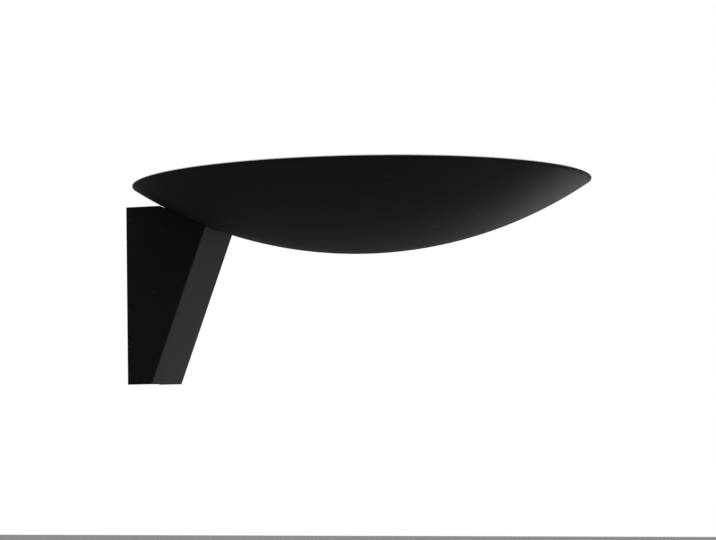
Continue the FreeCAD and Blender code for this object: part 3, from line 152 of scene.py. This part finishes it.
class Finish:
    """A material being made: its shader, and one method that adds any node."""

    def __init__(self, name, **constants):
        self.material = bpy.data.materials.new(name)
        self.material.use_nodes = True
        self.tree = self.material.node_tree
        self.shader = self.tree.nodes["Principled BSDF"]
        self.place = self.node("ShaderNodeTexCoord", output="Object")
        for socket, content in constants.items():
            self.set(socket.replace("_", " "), content)

    def node(self, kind, settings=(), sockets=(), output=0):
        new = self.tree.nodes.new(kind)
        for name, content in dict(settings).items():
            setattr(new, name, content)
        for key, content in dict(sockets).items():
            self.feed(new.inputs[key], content)
        return Field(self, new.outputs[output])

    def feed(self, socket, content):
        if isinstance(content, Field):
            self.tree.links.new(content.socket, socket)
        elif socket.type == "RGBA":
            socket.default_value = tuple(content) + (1,)
        else:
            socket.default_value = content

    def set(self, socket, content):
        self.feed(self.shader.inputs[socket], content)

    def noise(self, scale, detail=2.0, stretch=(1, 1, 1)):
        """Cloudy noise, its scale in clouds to the metre."""
        place = self.node("ShaderNodeMapping", sockets={"Vector": self.place, "Scale": stretch})
        return self.node("ShaderNodeTexNoise", sockets={"Vector": place, "Scale": scale, "Detail": detail})

    def cells(self, scale):
        return self.node("ShaderNodeTexVoronoi", sockets={"Vector": self.place, "Scale": scale})

    def mix(self, factor, first, second):
        """Two colours mixed: 6 and 7 are the colour pair of a Mix node, and output 2 its colour."""
        return self.node("ShaderNodeMix", {"data_type": "RGBA"}, {0: factor, 6: first, 7: second}, output=2)

    def colour(self, content):
        self.set("Base Color", content)

    def bump(self, height, depth):
        self.set("Normal", self.node("ShaderNodeBump", sockets={"Height": height, "Distance": depth}))

    def from_axis(self, y):
        """How far a point lies from the upright line at a y in the middle of the light."""
        flat = self.node("ShaderNodeMapping",
                         sockets={"Vector": self.place, "Location": (0, -y, 0), "Scale": (1, 1, 0)})
        return self.node("ShaderNodeVectorMath", {"operation": "LENGTH"}, {0: flat}, output=1)


body_of = {name: body for body, names in frame["record"]["behaviour"]["bodies"].items() for name in names}


def finish_piece(build, name, finishes, node, sharp):
    """The piece's mesh is written, shaded, dressed, carried by its node's body and put for the node."""
    mesh = bpy.data.meshes.new(name)
    build.to_mesh(mesh)
    build.free()
    for finish in finishes:
        mesh.materials.append(finish.material)
    for polygon in mesh.polygons:
        polygon.use_smooth = True
    mesh.set_sharp_from_angle(angle=math.radians(sharp))
    piece = bpy.data.objects.new(name, mesh)
    scene.collection.objects.link(piece)
    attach(piece, body_of[node])
    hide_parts(node)
    return piece


seam_slack = 0.0000005


def outward(build):
    """Doubles merged and faces turned outwards after a spin."""
    bmesh.ops.remove_doubles(build, verts=build.verts, dist=seam_slack)
    bmesh.ops.recalc_face_normals(build, faces=build.faces)


sphere_radius = 0.322554
sheet = 0.0015
rim_break = 0.0004
sphere_middle = Vector((0, dish_axis, dish_low.z + sphere_radius))
rim_angle = math.acos(1 - bowl_depth / sphere_radius)
spin_steps = 256
meridian_steps = 48

coat_black = (0.0080, 0.0080, 0.0082)
coat_worn = (0.0105, 0.0105, 0.0108)
coat_dust = (0.05, 0.049, 0.047)
bowl_white = (0.80, 0.795, 0.775)
bowl_warm = (0.74, 0.72, 0.68)
bowl_dust = (0.45, 0.43, 0.40)
baked_reach = 0.07
spun_rings = 2600.0


def black_coat():
    """Fine black powder, baked on: a faint orange peel, a little dust, nothing shiny."""
    finish = Finish("black_powder_coat", Metallic=0.0, Specular_IOR_Level=0.05)
    cloud = finish.noise(scale=9.0, detail=3.0)
    grain = finish.noise(scale=1500.0)
    peel = finish.noise(scale=520.0, detail=1.0)
    tone = finish.mix(cloud.over(edge=0.56, softness=0.3), coat_black, coat_worn)
    specks = finish.noise(scale=260.0, detail=1.0).over(edge=0.76, softness=0.04) * 0.3
    finish.colour(finish.mix(specks, tone, coat_dust))
    finish.set("Roughness", cloud * 0.10 + grain * 0.05 + 0.56)
    finish.bump(peel * 0.7 + grain * 0.3, depth=0.00003)
    return finish


def bowl_coat():
    """The white inside of the bowl: warm where the lamp has baked it, faint spinning rings."""
    finish = Finish("bowl_white_coat", Metallic=0.0, Specular_IOR_Level=0.4)
    out = finish.from_axis(dish_axis)
    cloud = finish.noise(scale=14.0, detail=3.0)
    baked = (1 - (out - baked_reach).over(edge=0.035, softness=0.06)) * (cloud * 0.5 + 0.25)
    dust = finish.noise(scale=420.0, detail=1.0).over(edge=0.72, softness=0.05) * 0.25
    finish.colour(finish.mix(dust, finish.mix(baked, bowl_white, bowl_warm), bowl_dust))
    finish.set("Roughness", cloud * 0.12 + 0.36)
    finish.bump((out * spun_rings).wave() * 0.35 + finish.noise(scale=600.0), depth=0.00003)
    return finish


def meridian(radius, start, end):
    """Points on a circle about the sphere's middle, by the angle from straight down."""
    turns = [start + (end - start) * step / meridian_steps for step in range(meridian_steps + 1)]
    return [sphere_middle + Vector((math.sin(turn), 0, -math.cos(turn))) * radius for turn in turns]


def spin_profile(build, points, centre, axis, steps):
    """A chain of points turned all the way round an axis."""
    chain = [build.verts.new(point) for point in points]
    edges = [build.edges.new(pair) for pair in zip(chain, chain[1:])]
    bmesh.ops.spin(build, geom=chain + edges, cent=centre, axis=axis, angle=math.tau, steps=steps,
                   use_merge=True)


near_ring = 0.1241
far_ring = 0.1445
screw_aside = 0.023
screw_hole = 0.0022
lead_ring = 0.1343
lead_hole = 0.005


def through_the_bowl(ring, x):
    """The way out from the sphere's middle to a place on the bowl's rear half."""
    return Vector((x, math.sqrt(ring ** 2 - x ** 2), -math.sqrt(sphere_radius ** 2 - ring ** 2)))


def rod(build, foot, head, radius, facets=32):
    """A plain round rod between two points."""
    way = head - foot
    place = Matrix.Translation((foot + head) / 2) @ way.to_track_quat("Z", "Y").to_matrix().to_4x4()
    bmesh.ops.create_cone(build, cap_ends=True, segments=facets, radius1=radius, radius2=radius,
                          depth=way.length, matrix=place)


def drilled(build, drills):
    """The piece with the drills' rods cut out of it."""
    things = []
    for name, form in (("undrilled", build), ("drills", drills)):
        mesh = bpy.data.meshes.new(name)
        form.to_mesh(mesh)
        form.free()
        things.append(bpy.data.objects.new(name, mesh))
        scene.collection.objects.link(things[-1])
    cut = things[0].modifiers.new("holes", "BOOLEAN")
    cut.operation = "DIFFERENCE"
    cut.solver = "EXACT"
    cut.object = things[1]
    finished = bmesh.new()
    finished.from_object(things[0], bpy.context.evaluated_depsgraph_get())
    for thing in things:
        bpy.data.objects.remove(thing)
    return finished


dish_build = bmesh.new()
broken_angle = rim_angle - rim_break / sphere_radius
outside = meridian(sphere_radius, 0, broken_angle)
rim_way = Vector((math.sin(rim_angle), 0, -math.cos(rim_angle)))
rim_edge = [sphere_middle + rim_way * (sphere_radius - depth) for depth in (rim_break, sheet - rim_break)]
inside = meridian(sphere_radius - sheet, broken_angle, 0)
spin_profile(dish_build, outside + rim_edge + inside, sphere_middle, (0, 0, 1), spin_steps)
outward(dish_build)
for face in dish_build.faces:
    reach = (face.calc_center_median() - sphere_middle).length
    face.material_index = 1 if reach < sphere_radius - sheet / 2 else 0

holes = [(ring, x, screw_hole) for ring in (near_ring, far_ring) for x in (screw_aside, -screw_aside)]
drills = bmesh.new()
for ring, x, radius in holes + [(lead_ring, 0, lead_hole)]:
    way = through_the_bowl(ring, x).normalized()
    rod(drills, sphere_middle + way * (sphere_radius - 3 * sheet),
        sphere_middle + way * (sphere_radius + 2 * sheet), radius)

black = black_coat()
bowl = bowl_coat()
finish_piece(drilled(dish_build, drills), "spun_dish", (black, bowl), "dish", sharp=60)


# ---------------------------------------------------------------- wedge body
# Sheet steel folded into a wedge: two cheeks, a leaning front and a top flange that hooks
# over the wall plate.  The bends are pressed to a 2 mm round and the coat is the dish's.

body_edge = 0.00035
triangle_slack = 0.000002
flat_join = math.radians(0.4)
crisp_corner = math.radians(40)


def machined(node, finish, broken, name=None):
    """A copy of a node as it is really finished: whole faces instead of triangles, broken edges."""
    build = bmesh.new()
    build.from_mesh(nodes[node].data)
    bmesh.ops.remove_doubles(build, verts=build.verts, dist=triangle_slack)
    bmesh.ops.dissolve_limit(build, angle_limit=flat_join, verts=build.verts, edges=build.edges)
    corners = [edge for edge in build.edges if edge.is_manifold and edge.calc_face_angle(0) > crisp_corner]
    bmesh.ops.bevel(build, geom=corners, offset=broken, offset_type="OFFSET", segments=2, profile=0.5,
                    affect="EDGES", clamp_overlap=True, material=-1)
    piece = finish_piece(build, name or node + "_finished", (finish,), node, sharp=38)
    piece.modifiers.new("even_faces", "WEIGHTED_NORMAL").keep_sharp = True


machined("wedge_body", black, body_edge, name="folded_body")


# ---------------------------------------------------------------- wall plate, saddle and other plated steel
# Pressed sheet and turned fasteners, bright zinc plated.  The plating is faintly blue,
# dulled in clouds, with fine rolling scratches.

zinc_bright = (0.50, 0.52, 0.545)
zinc_dull = (0.37, 0.38, 0.39)
zinc_tint = (0.49, 0.47, 0.40)
pressed_edge = 0.00025


def zinc_plate():
    finish = Finish("zinc_plated_steel", Metallic=1.0)
    cloud = finish.noise(scale=38.0, detail=4.0)
    scratch = finish.noise(scale=900.0, stretch=(1, 1, 0.06))
    tint = finish.noise(scale=22.0).over(edge=0.6, softness=0.2) * 0.5
    tone = finish.mix(cloud.over(edge=0.5, softness=0.35), zinc_bright, zinc_dull)
    finish.colour(finish.mix(tint, tone, zinc_tint))
    finish.set("Roughness", cloud * 0.22 + scratch * 0.14 + 0.30)
    finish.bump(scratch * 0.6 + finish.noise(scale=2400.0) * 0.4, depth=0.00001)
    return finish


zinc = zinc_plate()
for node in ("wall_plate", "saddle_plate", "backing_plate", "spring_cap", "pan_spacers", "pan_studs",
             "dish_washers", "dish_nuts", "pan_nuts", "earth_stud", "earth_nut",
             "dish_screws", "body_fixing_screw", "lampholder_screws", "bond_screw",
             "clamp_screws", "terminal_fixing_screws"):
    machined(node, zinc, pressed_edge)


# ---------------------------------------------------------------- black rubber
# Moulded rubber: the grommet of the supply cable in the wall plate, the grommet of the
# leads through the seat, and the sheet gasket between saddle and dish.

rubber_black = (0.022, 0.022, 0.023)
rubber_grey = (0.052, 0.051, 0.05)
rubber_edge = 0.0003


def black_rubber():
    finish = Finish("black_rubber", Metallic=0.0, Specular_IOR_Level=0.3)
    cloud = finish.noise(scale=60.0, detail=3.0)
    bloom = finish.noise(scale=18.0).over(edge=0.55, softness=0.3) * 0.4
    finish.colour(finish.mix(bloom, rubber_black, rubber_grey))
    finish.set("Roughness", cloud * 0.2 + 0.6)
    finish.bump(finish.noise(scale=1200.0, detail=3.0), depth=0.00003)
    return finish


rubber = black_rubber()
for node in ("cable_entry_grommet", "lead_grommet", "saddle_gasket"):
    machined(node, rubber, rubber_edge)


# ---------------------------------------------------------------- lamp pan and rivets
# A tray pressed from mill-finish aluminium, with a turned-out flange.  Two drawn rivets
# hold the reflector down in it.

mill_grey = (0.74, 0.745, 0.75)
mill_dark = (0.58, 0.58, 0.59)
pan_edge = 0.00025


def mill_aluminium():
    finish = Finish("mill_aluminium", Metallic=1.0)
    rolled = finish.noise(scale=700.0, detail=3.0, stretch=(0.03, 1, 1))
    cloud = finish.noise(scale=25.0, detail=3.0)
    finish.colour(finish.mix(cloud.over(edge=0.55, softness=0.4), mill_grey, mill_dark))
    finish.set("Roughness", rolled * 0.2 + cloud * 0.1 + 0.24)
    finish.bump(rolled, depth=0.000012)
    return finish


mill = mill_aluminium()
for node in ("lamp_pan", "reflector_rivets"):
    machined(node, mill, pan_edge)


# ---------------------------------------------------------------- reflector
# A trough rolled from thin hammered aluminium and brightened.  Its dimples are rolled in
# before it is bent, and its ends are notched for the lampholders.

bright_face = (0.86, 0.865, 0.87)
bright_haze = (0.74, 0.74, 0.74)


def bright_aluminium():
    finish = Finish("bright_aluminium", Metallic=1.0)
    cloud = finish.noise(scale=30.0, detail=3.0)
    finish.colour(finish.mix(cloud.over(edge=0.6, softness=0.3), bright_face, bright_haze))
    finish.set("Roughness", cloud * 0.12 + finish.noise(scale=400.0) * 0.06 + 0.06)
    finish.bump(finish.noise(scale=1500.0), depth=0.000005)
    return finish


bright = bright_aluminium()
trough_low, trough_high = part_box("reflector")
trough_sheet = 0.0006
trough_flat = 0.007
trough_lip = 0.004
trough_half = (trough_high.y - trough_low.y) / 2
trough_rise = trough_high.z - trough_low.z - trough_sheet
trough_run = trough_half - trough_lip - trough_flat
trough_bow = (trough_run ** 2 + trough_rise ** 2) / (2 * trough_rise)
notch_end = 0.0508
notch_half = 0.009
steps_along = 192
steps_across = 128
dimple_pitch = 0.005
dimple_depth = 0.0002
dimple_crest = 0.9


def trough_height(y):
    """Height of the bent sheet over its flat middle."""
    run = min(max(abs(y) - trough_flat, 0), trough_run)
    return trough_bow - math.sqrt(trough_bow ** 2 - run ** 2)


trough_build = bmesh.new()
bmesh.ops.create_grid(trough_build, x_segments=steps_along, y_segments=steps_across, size=1)
trough_middle = (trough_low + trough_high) / 2
for vert in trough_build.verts:
    x, y = vert.co.x * (trough_high.x - trough_low.x) / 2, vert.co.y * trough_half
    nearest = noise.voronoi(Vector((x, y, 0)) / dimple_pitch)[0][0]
    ridge = dimple_depth * min(nearest, dimple_crest) ** 2 if abs(y) < trough_half - trough_lip else 0
    vert.co = Vector((trough_middle.x + x, trough_middle.y + y, trough_low.z + trough_height(y) + ridge))
notched = [face for face in trough_build.faces
           if abs(face.calc_center_median().x) > notch_end
           and abs(face.calc_center_median().y - trough_middle.y) < notch_half]
bmesh.ops.delete(trough_build, geom=notched, context="FACES")
bmesh.ops.recalc_face_normals(trough_build, faces=trough_build.faces)
if sum(face.normal.z for face in trough_build.faces) > 0:
    bmesh.ops.reverse_faces(trough_build, faces=trough_build.faces)
bmesh.ops.solidify(trough_build, geom=trough_build.faces, thickness=trough_sheet - dimple_depth)
bmesh.ops.recalc_face_normals(trough_build, faces=trough_build.faces)
finish_piece(trough_build, "hammered_reflector", (bright,), "reflector", sharp=50)


# ---------------------------------------------------------------- lampholders and lamp caps
# Steatite, pressed and fired unglazed: off-white, matt, with fine pores and a few grey
# iron specks.

steatite_white = (0.84, 0.81, 0.745)
steatite_warm = (0.76, 0.71, 0.62)
iron_speck = (0.3, 0.27, 0.24)
steatite_edge = 0.0002


def steatite_finish():
    finish = Finish("steatite", Metallic=0.0, Specular_IOR_Level=0.35)
    cloud = finish.noise(scale=70.0, detail=3.0)
    pores = finish.cells(scale=1400.0)
    iron = finish.noise(scale=900.0, detail=1.0).over(edge=0.74, softness=0.03) * 0.6
    finish.colour(finish.mix(iron, finish.mix(cloud, steatite_white, steatite_warm), iron_speck))
    finish.set("Roughness", cloud * 0.15 + 0.55)
    finish.bump(pores * 0.6 + cloud * 0.4, depth=0.00006)
    return finish


steatite = steatite_finish()
for node in ("lampholder_left", "lampholder_right", "lamp_end_caps"):
    machined(node, steatite, steatite_edge)


# ---------------------------------------------------------------- contacts and brass parts
# Turned and pressed brass, a little tarnished: both lamp contacts, the clamping screws of
# the terminal block and the earth lead's tag.

brass_bright = (0.78, 0.60, 0.29)
brass_tarnish = (0.42, 0.29, 0.13)
brass_edge = 0.00015


def brass_finish():
    finish = Finish("brass", Metallic=1.0)
    cloud = finish.noise(scale=110.0, detail=4.0)
    turned = finish.noise(scale=2200.0)
    finish.colour(finish.mix(cloud.over(edge=0.58, softness=0.3), brass_bright, brass_tarnish))
    finish.set("Roughness", cloud * 0.25 + turned * 0.1 + 0.14)
    finish.bump(turned, depth=0.000008)
    return finish


brass = brass_finish()
for node in ("fixed_contact", "contact_plunger", "terminal_screws", "earth_tag"):
    machined(node, brass, brass_edge)


# ---------------------------------------------------------------- contact spring
# Music wire wound in four turns and plated.  It sits between the plunger's collar and the spring cap, wound
# here at one fixed length.

spring_low, spring_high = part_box("contact_spring")
spring_wire = 0.00035
spring_radius = (spring_high.z - spring_low.z) / 2 - spring_wire
spring_rise = (spring_low.z + spring_high.z) / 2
spring_run = spring_high.x - spring_low.x - 2 * spring_wire
spring_turns = 4
steps_a_turn = 24
across_y = Matrix.Rotation(math.pi / 2, 4, "X")


def coil(build, start, radius, wire, turns, steps, advance, facets=8):
    """A wire wound round a line along X: its section is turned and moved on at each step."""
    place = Matrix.Translation(start + Vector((0, 0, radius)))
    ring = bmesh.ops.create_circle(build, segments=facets, radius=wire, matrix=place @ across_y)
    edges = list({edge for vert in ring["verts"] for edge in vert.link_edges})
    bmesh.ops.spin(build, geom=ring["verts"] + edges, cent=start, axis=(1, 0, 0), angle=math.tau * turns,
                   dvec=(advance / steps, 0, 0), steps=steps)
    bmesh.ops.holes_fill(build, edges=[edge for edge in build.edges if edge.is_boundary], sides=facets)


spring_build = bmesh.new()
coil(spring_build, Vector((spring_low.x + spring_wire, dish_axis, spring_rise)), spring_radius, spring_wire,
     spring_turns, spring_turns * steps_a_turn, spring_run)
outward(spring_build)
spring = finish_piece(spring_build, "wound_contact_spring", (zinc,), "contact_spring", sharp=80)
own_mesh(spring)


# ---------------------------------------------------------------- lamp
# A linear halogen lamp: a quartz tube drawn down at its ends, and a coiled tungsten
# filament on three supports.

quartz_clear = (0.97, 0.97, 0.98)
tungsten_bright = (0.36, 0.35, 0.34)
tungsten_dark = (0.20, 0.19, 0.19)


def clear_glass(name, tint, smear):
    finish = Finish(name, Metallic=0.0, IOR=1.5, Transmission_Weight=1.0)
    cloud = finish.noise(scale=24.0, detail=3.0)
    finish.colour(tint)
    finish.set("Roughness", cloud.over(edge=0.58, softness=0.3) * smear)
    return finish


quartz = clear_glass("quartz", quartz_clear, smear=0.03)
tungsten = Finish("tungsten", Metallic=1.0)
tungsten.colour(tungsten.mix(tungsten.noise(scale=300.0), tungsten_bright, tungsten_dark))
tungsten.set("Roughness", tungsten.noise(scale=800.0) * 0.2 + 0.35)

tube_low, tube_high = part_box("lamp_tube")
lamp_middle = (tube_low + tube_high) / 2
tube_half = (tube_high.x - tube_low.x) / 2
tube_radius = (tube_high.z - tube_low.z) / 2
tube_wall = 0.001
bore_inset = 0.004


def lathe_x(build, profile, steps=48):
    """A profile of (distance along the lamp, radius) turned round the lamp's line."""
    points = [lamp_middle + Vector((x, 0, radius)) for x, radius in profile]
    spin_profile(build, points, lamp_middle, (1, 0, 0), steps)


shoulder = [(0, 0), (0, 0.55), (0.0012, 0.6), (0.0030, 0.84), (0.0048, 0.965), (0.0068, 1)]
outer_half = [(x - tube_half, radius * tube_radius) for x, radius in shoulder]
inner_shoulder = [(0.0042, 0), (0.0045, 0.3), (0.0054, 0.66), (0.0068, 0.9), (0.0086, 1)]
inner_half = [(x - tube_half, radius * (tube_radius - tube_wall)) for x, radius in inner_shoulder]
tube_build = bmesh.new()
lathe_x(tube_build, outer_half + [(-x, radius) for x, radius in reversed(outer_half)])
lathe_x(tube_build, inner_half + [(-x, radius) for x, radius in reversed(inner_half)])
outward(tube_build)
bore = [face for face in tube_build.faces
        if all(math.hypot(vert.co.y - lamp_middle.y, vert.co.z - lamp_middle.z) < tube_radius - tube_wall / 2
               and abs(vert.co.x) < tube_half - bore_inset for vert in face.verts)]
bmesh.ops.reverse_faces(tube_build, faces=bore)
tip_along = 0.012
tip_height = 0.0013
tip_foot = 0.0013
tip_end = 0.0004
tip_place = lamp_middle + Vector((tip_along, 0, tube_radius + 0.4 * tip_height))
bmesh.ops.create_cone(tube_build, cap_ends=True, segments=24, radius1=tip_foot, radius2=tip_end,
                      depth=tip_height, matrix=Matrix.Translation(tip_place))
finish_piece(tube_build, "drawn_quartz_tube", (quartz,), "lamp_tube", sharp=50)

filament_coil = 0.0006
filament_wire = 0.00012
filament_half = 0.041
filament_turns = 108
filament_steps = filament_turns * 10
tail_inset = 0.0045
support_pitch = 0.03
support_wire = 0.00013
support_reach = tube_radius - tube_wall - 0.0003
support_turns = 1.1
support_steps = 26
support_advance = 0.0008
filament_build = bmesh.new()
coil(filament_build, lamp_middle - Vector((filament_half, 0, 0)), filament_coil - filament_wire,
     filament_wire, filament_turns, filament_steps, 2 * filament_half, facets=6)
for side in (-1, 1):
    foot = lamp_middle + Vector((side * filament_half, 0, filament_coil - filament_wire))
    tail = lamp_middle + Vector((side * (tube_half - tail_inset), 0, 0))
    rod(filament_build, foot, tail, filament_wire, facets=8)
for x in (-support_pitch, 0, support_pitch):
    hub = lamp_middle + Vector((x, 0, 0))
    coil(filament_build, hub, support_reach, support_wire, support_turns, support_steps, support_advance,
         facets=6)
    rod(filament_build, hub, hub + Vector((0, 0, support_reach)), support_wire, facets=8)
outward(filament_build)
finish_piece(filament_build, "coiled_filament", (tungsten,), "filament", sharp=80)


# ---------------------------------------------------------------- cover glass and its seats
# Toughened clear float glass with bevelled edges, loose on four corners of moulded white
# silicone.

glass_tint = (0.93, 0.965, 0.95)
glass_edge = 0.0001
machined("glass_cover", clear_glass("toughened_glass", glass_tint, smear=0.05), glass_edge)

silicone_white = (0.80, 0.78, 0.745)
silicone_aged = (0.72, 0.69, 0.63)
silicone_edge = 0.0003


def white_silicone():
    finish = Finish("white_silicone", Metallic=0.0, Specular_IOR_Level=0.4)
    cloud = finish.noise(scale=90.0, detail=3.0)
    finish.colour(finish.mix(cloud.over(edge=0.5, softness=0.4), silicone_white, silicone_aged))
    finish.set("Roughness", cloud * 0.2 + 0.42)
    finish.bump(finish.noise(scale=1500.0), depth=0.00002)
    return finish


silicone = white_silicone()
for node in ("glass_corner_seats", "wire_bushes"):
    machined(node, silicone, silicone_edge)


# ---------------------------------------------------------------- terminal block and cable clamp
# White nylon, moulded: the block that joins the supply to the leads, and the strap that
# holds the supply cable.  Both are screwed to the wall plate.

nylon_white = (0.84, 0.84, 0.81)
nylon_aged = (0.78, 0.76, 0.69)
nylon_edge = 0.0003


def white_nylon():
    finish = Finish("white_nylon", Metallic=0.0, Specular_IOR_Level=0.45)
    cloud = finish.noise(scale=80.0, detail=3.0)
    finish.colour(finish.mix(cloud.over(edge=0.5, softness=0.4), nylon_white, nylon_aged))
    finish.set("Roughness", cloud * 0.15 + 0.36)
    finish.bump(finish.noise(scale=1100.0, detail=3.0), depth=0.00004)
    return finish


nylon = white_nylon()
for node in ("terminal_block", "cable_clamp"):
    machined(node, nylon, nylon_edge)


# ---------------------------------------------------------------- leads
# Heatproof leads in braided glass sleeves, brown, blue and green with yellow.  They run
# under the pan, down through the seat and on to the terminal block and the earth tag.

sleeve_radius = 0.0009
# A near-black colour used as painted shade in the gaps between braid strands; the dust darkens to it too.
gap_shade_and_dust = (0.05, 0.04, 0.035)
brown = (0.26, 0.11, 0.05)
brown_tracer = (0.34, 0.17, 0.09)
blue = (0.06, 0.14, 0.40)
blue_tracer = (0.10, 0.22, 0.50)
green = (0.12, 0.34, 0.07)
yellow = (0.66, 0.58, 0.05)
strand_pitches = 420.0
strands_round = 5.0
live_route = ((0.0628, -0.1815, 0.047), (0.0628, -0.1815, 0.0419), (0.0603, -0.1764, 0.0385),
              (0.0452, -0.1524, 0.0385), (0.0188, -0.1212, 0.0395), (0.002, -0.0926, 0.0473),
              (0.002, -0.0738, 0.0582), (0.002, -0.052, 0.0681), (0.002, -0.04, 0.042),
              (0.0065, -0.0265, 0.033), (0.01, -0.0125, 0.029), (0.01, -0.0095, 0.021),
              (0.01, -0.0095, 0.012))
neutral_route = [(-x, y, z) for x, y, z in live_route]
earth_route = ((0, -0.1276, 0.054), (0, -0.1118, 0.051), (0, -0.0926, 0.0473), (0, -0.0738, 0.0582),
               (0, -0.052, 0.0681), (0, -0.04, 0.042), (0, -0.0257, 0.026), (0, -0.0117, 0.018),
               (0, -0.0037, 0.02), (0, -0.0037, 0.027))


def braided(name, main, tracer, share):
    """Glass yarn braided round the lead: strands cross both ways, some of them a second colour, with painted
    shade in the gaps between them.
    """
    finish = Finish(name, Metallic=0.0, Specular_IOR_Level=0.2)
    wound = finish.node("ShaderNodeTexCoord", output="UV")
    split = finish.node("ShaderNodeSeparateXYZ", sockets={"Vector": wound})
    along = split * strand_pitches
    around = finish.node("ShaderNodeSeparateXYZ", sockets={"Vector": wound}, output=1) * strands_round
    one_way = ((along + around) * math.tau).wave()
    other_way = ((along - around) * math.tau).wave()
    strands = one_way.maths("MAXIMUM", other_way)
    dust = finish.noise(scale=300.0, detail=3.0) * 0.25
    second = ((along * 0.5 + around * 0.2) * math.tau).wave().over(edge=1 - share, softness=0.05)
    tone = finish.mix(second, main, tracer)
    # Painted shade: the gaps between the strands are darkened to the near-black gap colour, and random dust
    # darkens the same way.
    finish.colour(finish.mix((1 - strands) * 0.55 + dust, tone, gap_shade_and_dust))
    finish.set("Roughness", strands * 0.12 + 0.72)
    finish.bump(strands, depth=0.00012)
    return finish


def sleeved_lead(name, node, route, finish):
    """A lead in its sleeve, on one smooth line that its route guides."""
    line = bpy.data.curves.new(name, "CURVE")
    line.dimensions = "3D"
    line.bevel_depth = sleeve_radius
    line.bevel_resolution = 5
    line.use_fill_caps = True
    run = line.splines.new("NURBS")
    run.points.add(len(route) - 1)
    for point, place in zip(run.points, route):
        point.co = tuple(place) + (1,)
    run.order_u = 3
    run.use_endpoint_u = True
    run.resolution_u = 16
    run.use_smooth = True
    line.materials.append(finish.material)
    lead = bpy.data.objects.new(name, line)
    scene.collection.objects.link(lead)
    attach(lead, body_of[node])
    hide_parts(node)


sleeved_lead("brown_live_lead", "live_wire", live_route,
             braided("brown_braid", brown, brown_tracer, share=0.3))
sleeved_lead("blue_neutral_lead", "neutral_wire", neutral_route,
             braided("blue_braid", blue, blue_tracer, share=0.3))
sleeved_lead("striped_earth_lead", "earth_wire", earth_route,
             braided("green_yellow_braid", green, yellow, share=0.42))


# ---------------------------------------------------------------- studio
# A plain pale floor below and a white surround.  Soft lamps stand in front of the light,
# above it and beyond its far side, so the black coat shows its curves.

floor_drop = 0.75
floor_half = 8.0
floor_grey = (0.8, 0.8, 0.8)
floor_roughness = 0.9
soft_level = 0.26


def seen_directly(tree):
    """1 where the camera, a gloss or a glass looks straight at a surface, otherwise 0."""
    path = tree.nodes.new("ShaderNodeLightPath")
    seen = path.outputs["Is Camera Ray"]
    for ray in ("Is Glossy Ray", "Is Transmission Ray"):
        either = tree.nodes.new("ShaderNodeMath")
        either.operation = "MAXIMUM"
        tree.links.new(seen, either.inputs[0])
        tree.links.new(path.outputs[ray], either.inputs[1])
        seen = either.outputs[0]
    return seen


floor_build = bmesh.new()
bmesh.ops.create_grid(floor_build, x_segments=1, y_segments=1, size=floor_half,
                      matrix=Matrix.Translation((0, 0, cad_box[0][2] - floor_drop)))
floor_mesh = bpy.data.meshes.new("floor")
floor_build.to_mesh(floor_mesh)
floor_build.free()
floor = bpy.data.objects.new("floor", floor_mesh)
scene.collection.objects.link(floor)

pale = bpy.data.materials.new("pale_floor")
pale.use_nodes = True
pale_shader = pale.node_tree.nodes["Principled BSDF"]
pale_shader.inputs["Base Color"].default_value = floor_grey + (1,)
pale_shader.inputs["Roughness"].default_value = floor_roughness
floor_mesh.materials.append(pale)

world = bpy.data.worlds.new("surround")
scene.world = world
world.use_nodes = True
surround = world.node_tree.nodes["Background"]
surround.inputs["Color"].default_value = (1, 1, 1, 1)
surround_level = world.node_tree.nodes.new("ShaderNodeMapRange")
surround_level.inputs["To Min"].default_value = soft_level
world.node_tree.links.new(seen_directly(world.node_tree), surround_level.inputs["Value"])
world.node_tree.links.new(surround_level.outputs["Result"], surround.inputs["Strength"])


def soft_lamp(name, place, size, power):
    """A round soft lamp that faces the middle of the rim."""
    lamp = bpy.data.objects.new(name, bpy.data.lights.new(name, "AREA"))
    lamp.data.shape = "DISK"
    lamp.data.size = size
    lamp.data.energy = power
    way = rim_middle - Vector(place)
    lamp.matrix_world = Matrix.Translation(place) @ way.to_track_quat("-Z", "Y").to_matrix().to_4x4()
    scene.collection.objects.link(lamp)


soft_lamp("front_lamp", place=(0.3, -2.6, -0.1), size=1.3, power=18)
soft_lamp("top_lamp", place=(-0.3, -0.6, 2.4), size=3.0, power=30)
soft_lamp("low_lamp", place=(2.3, -0.5, -0.55), size=0.4, power=5)
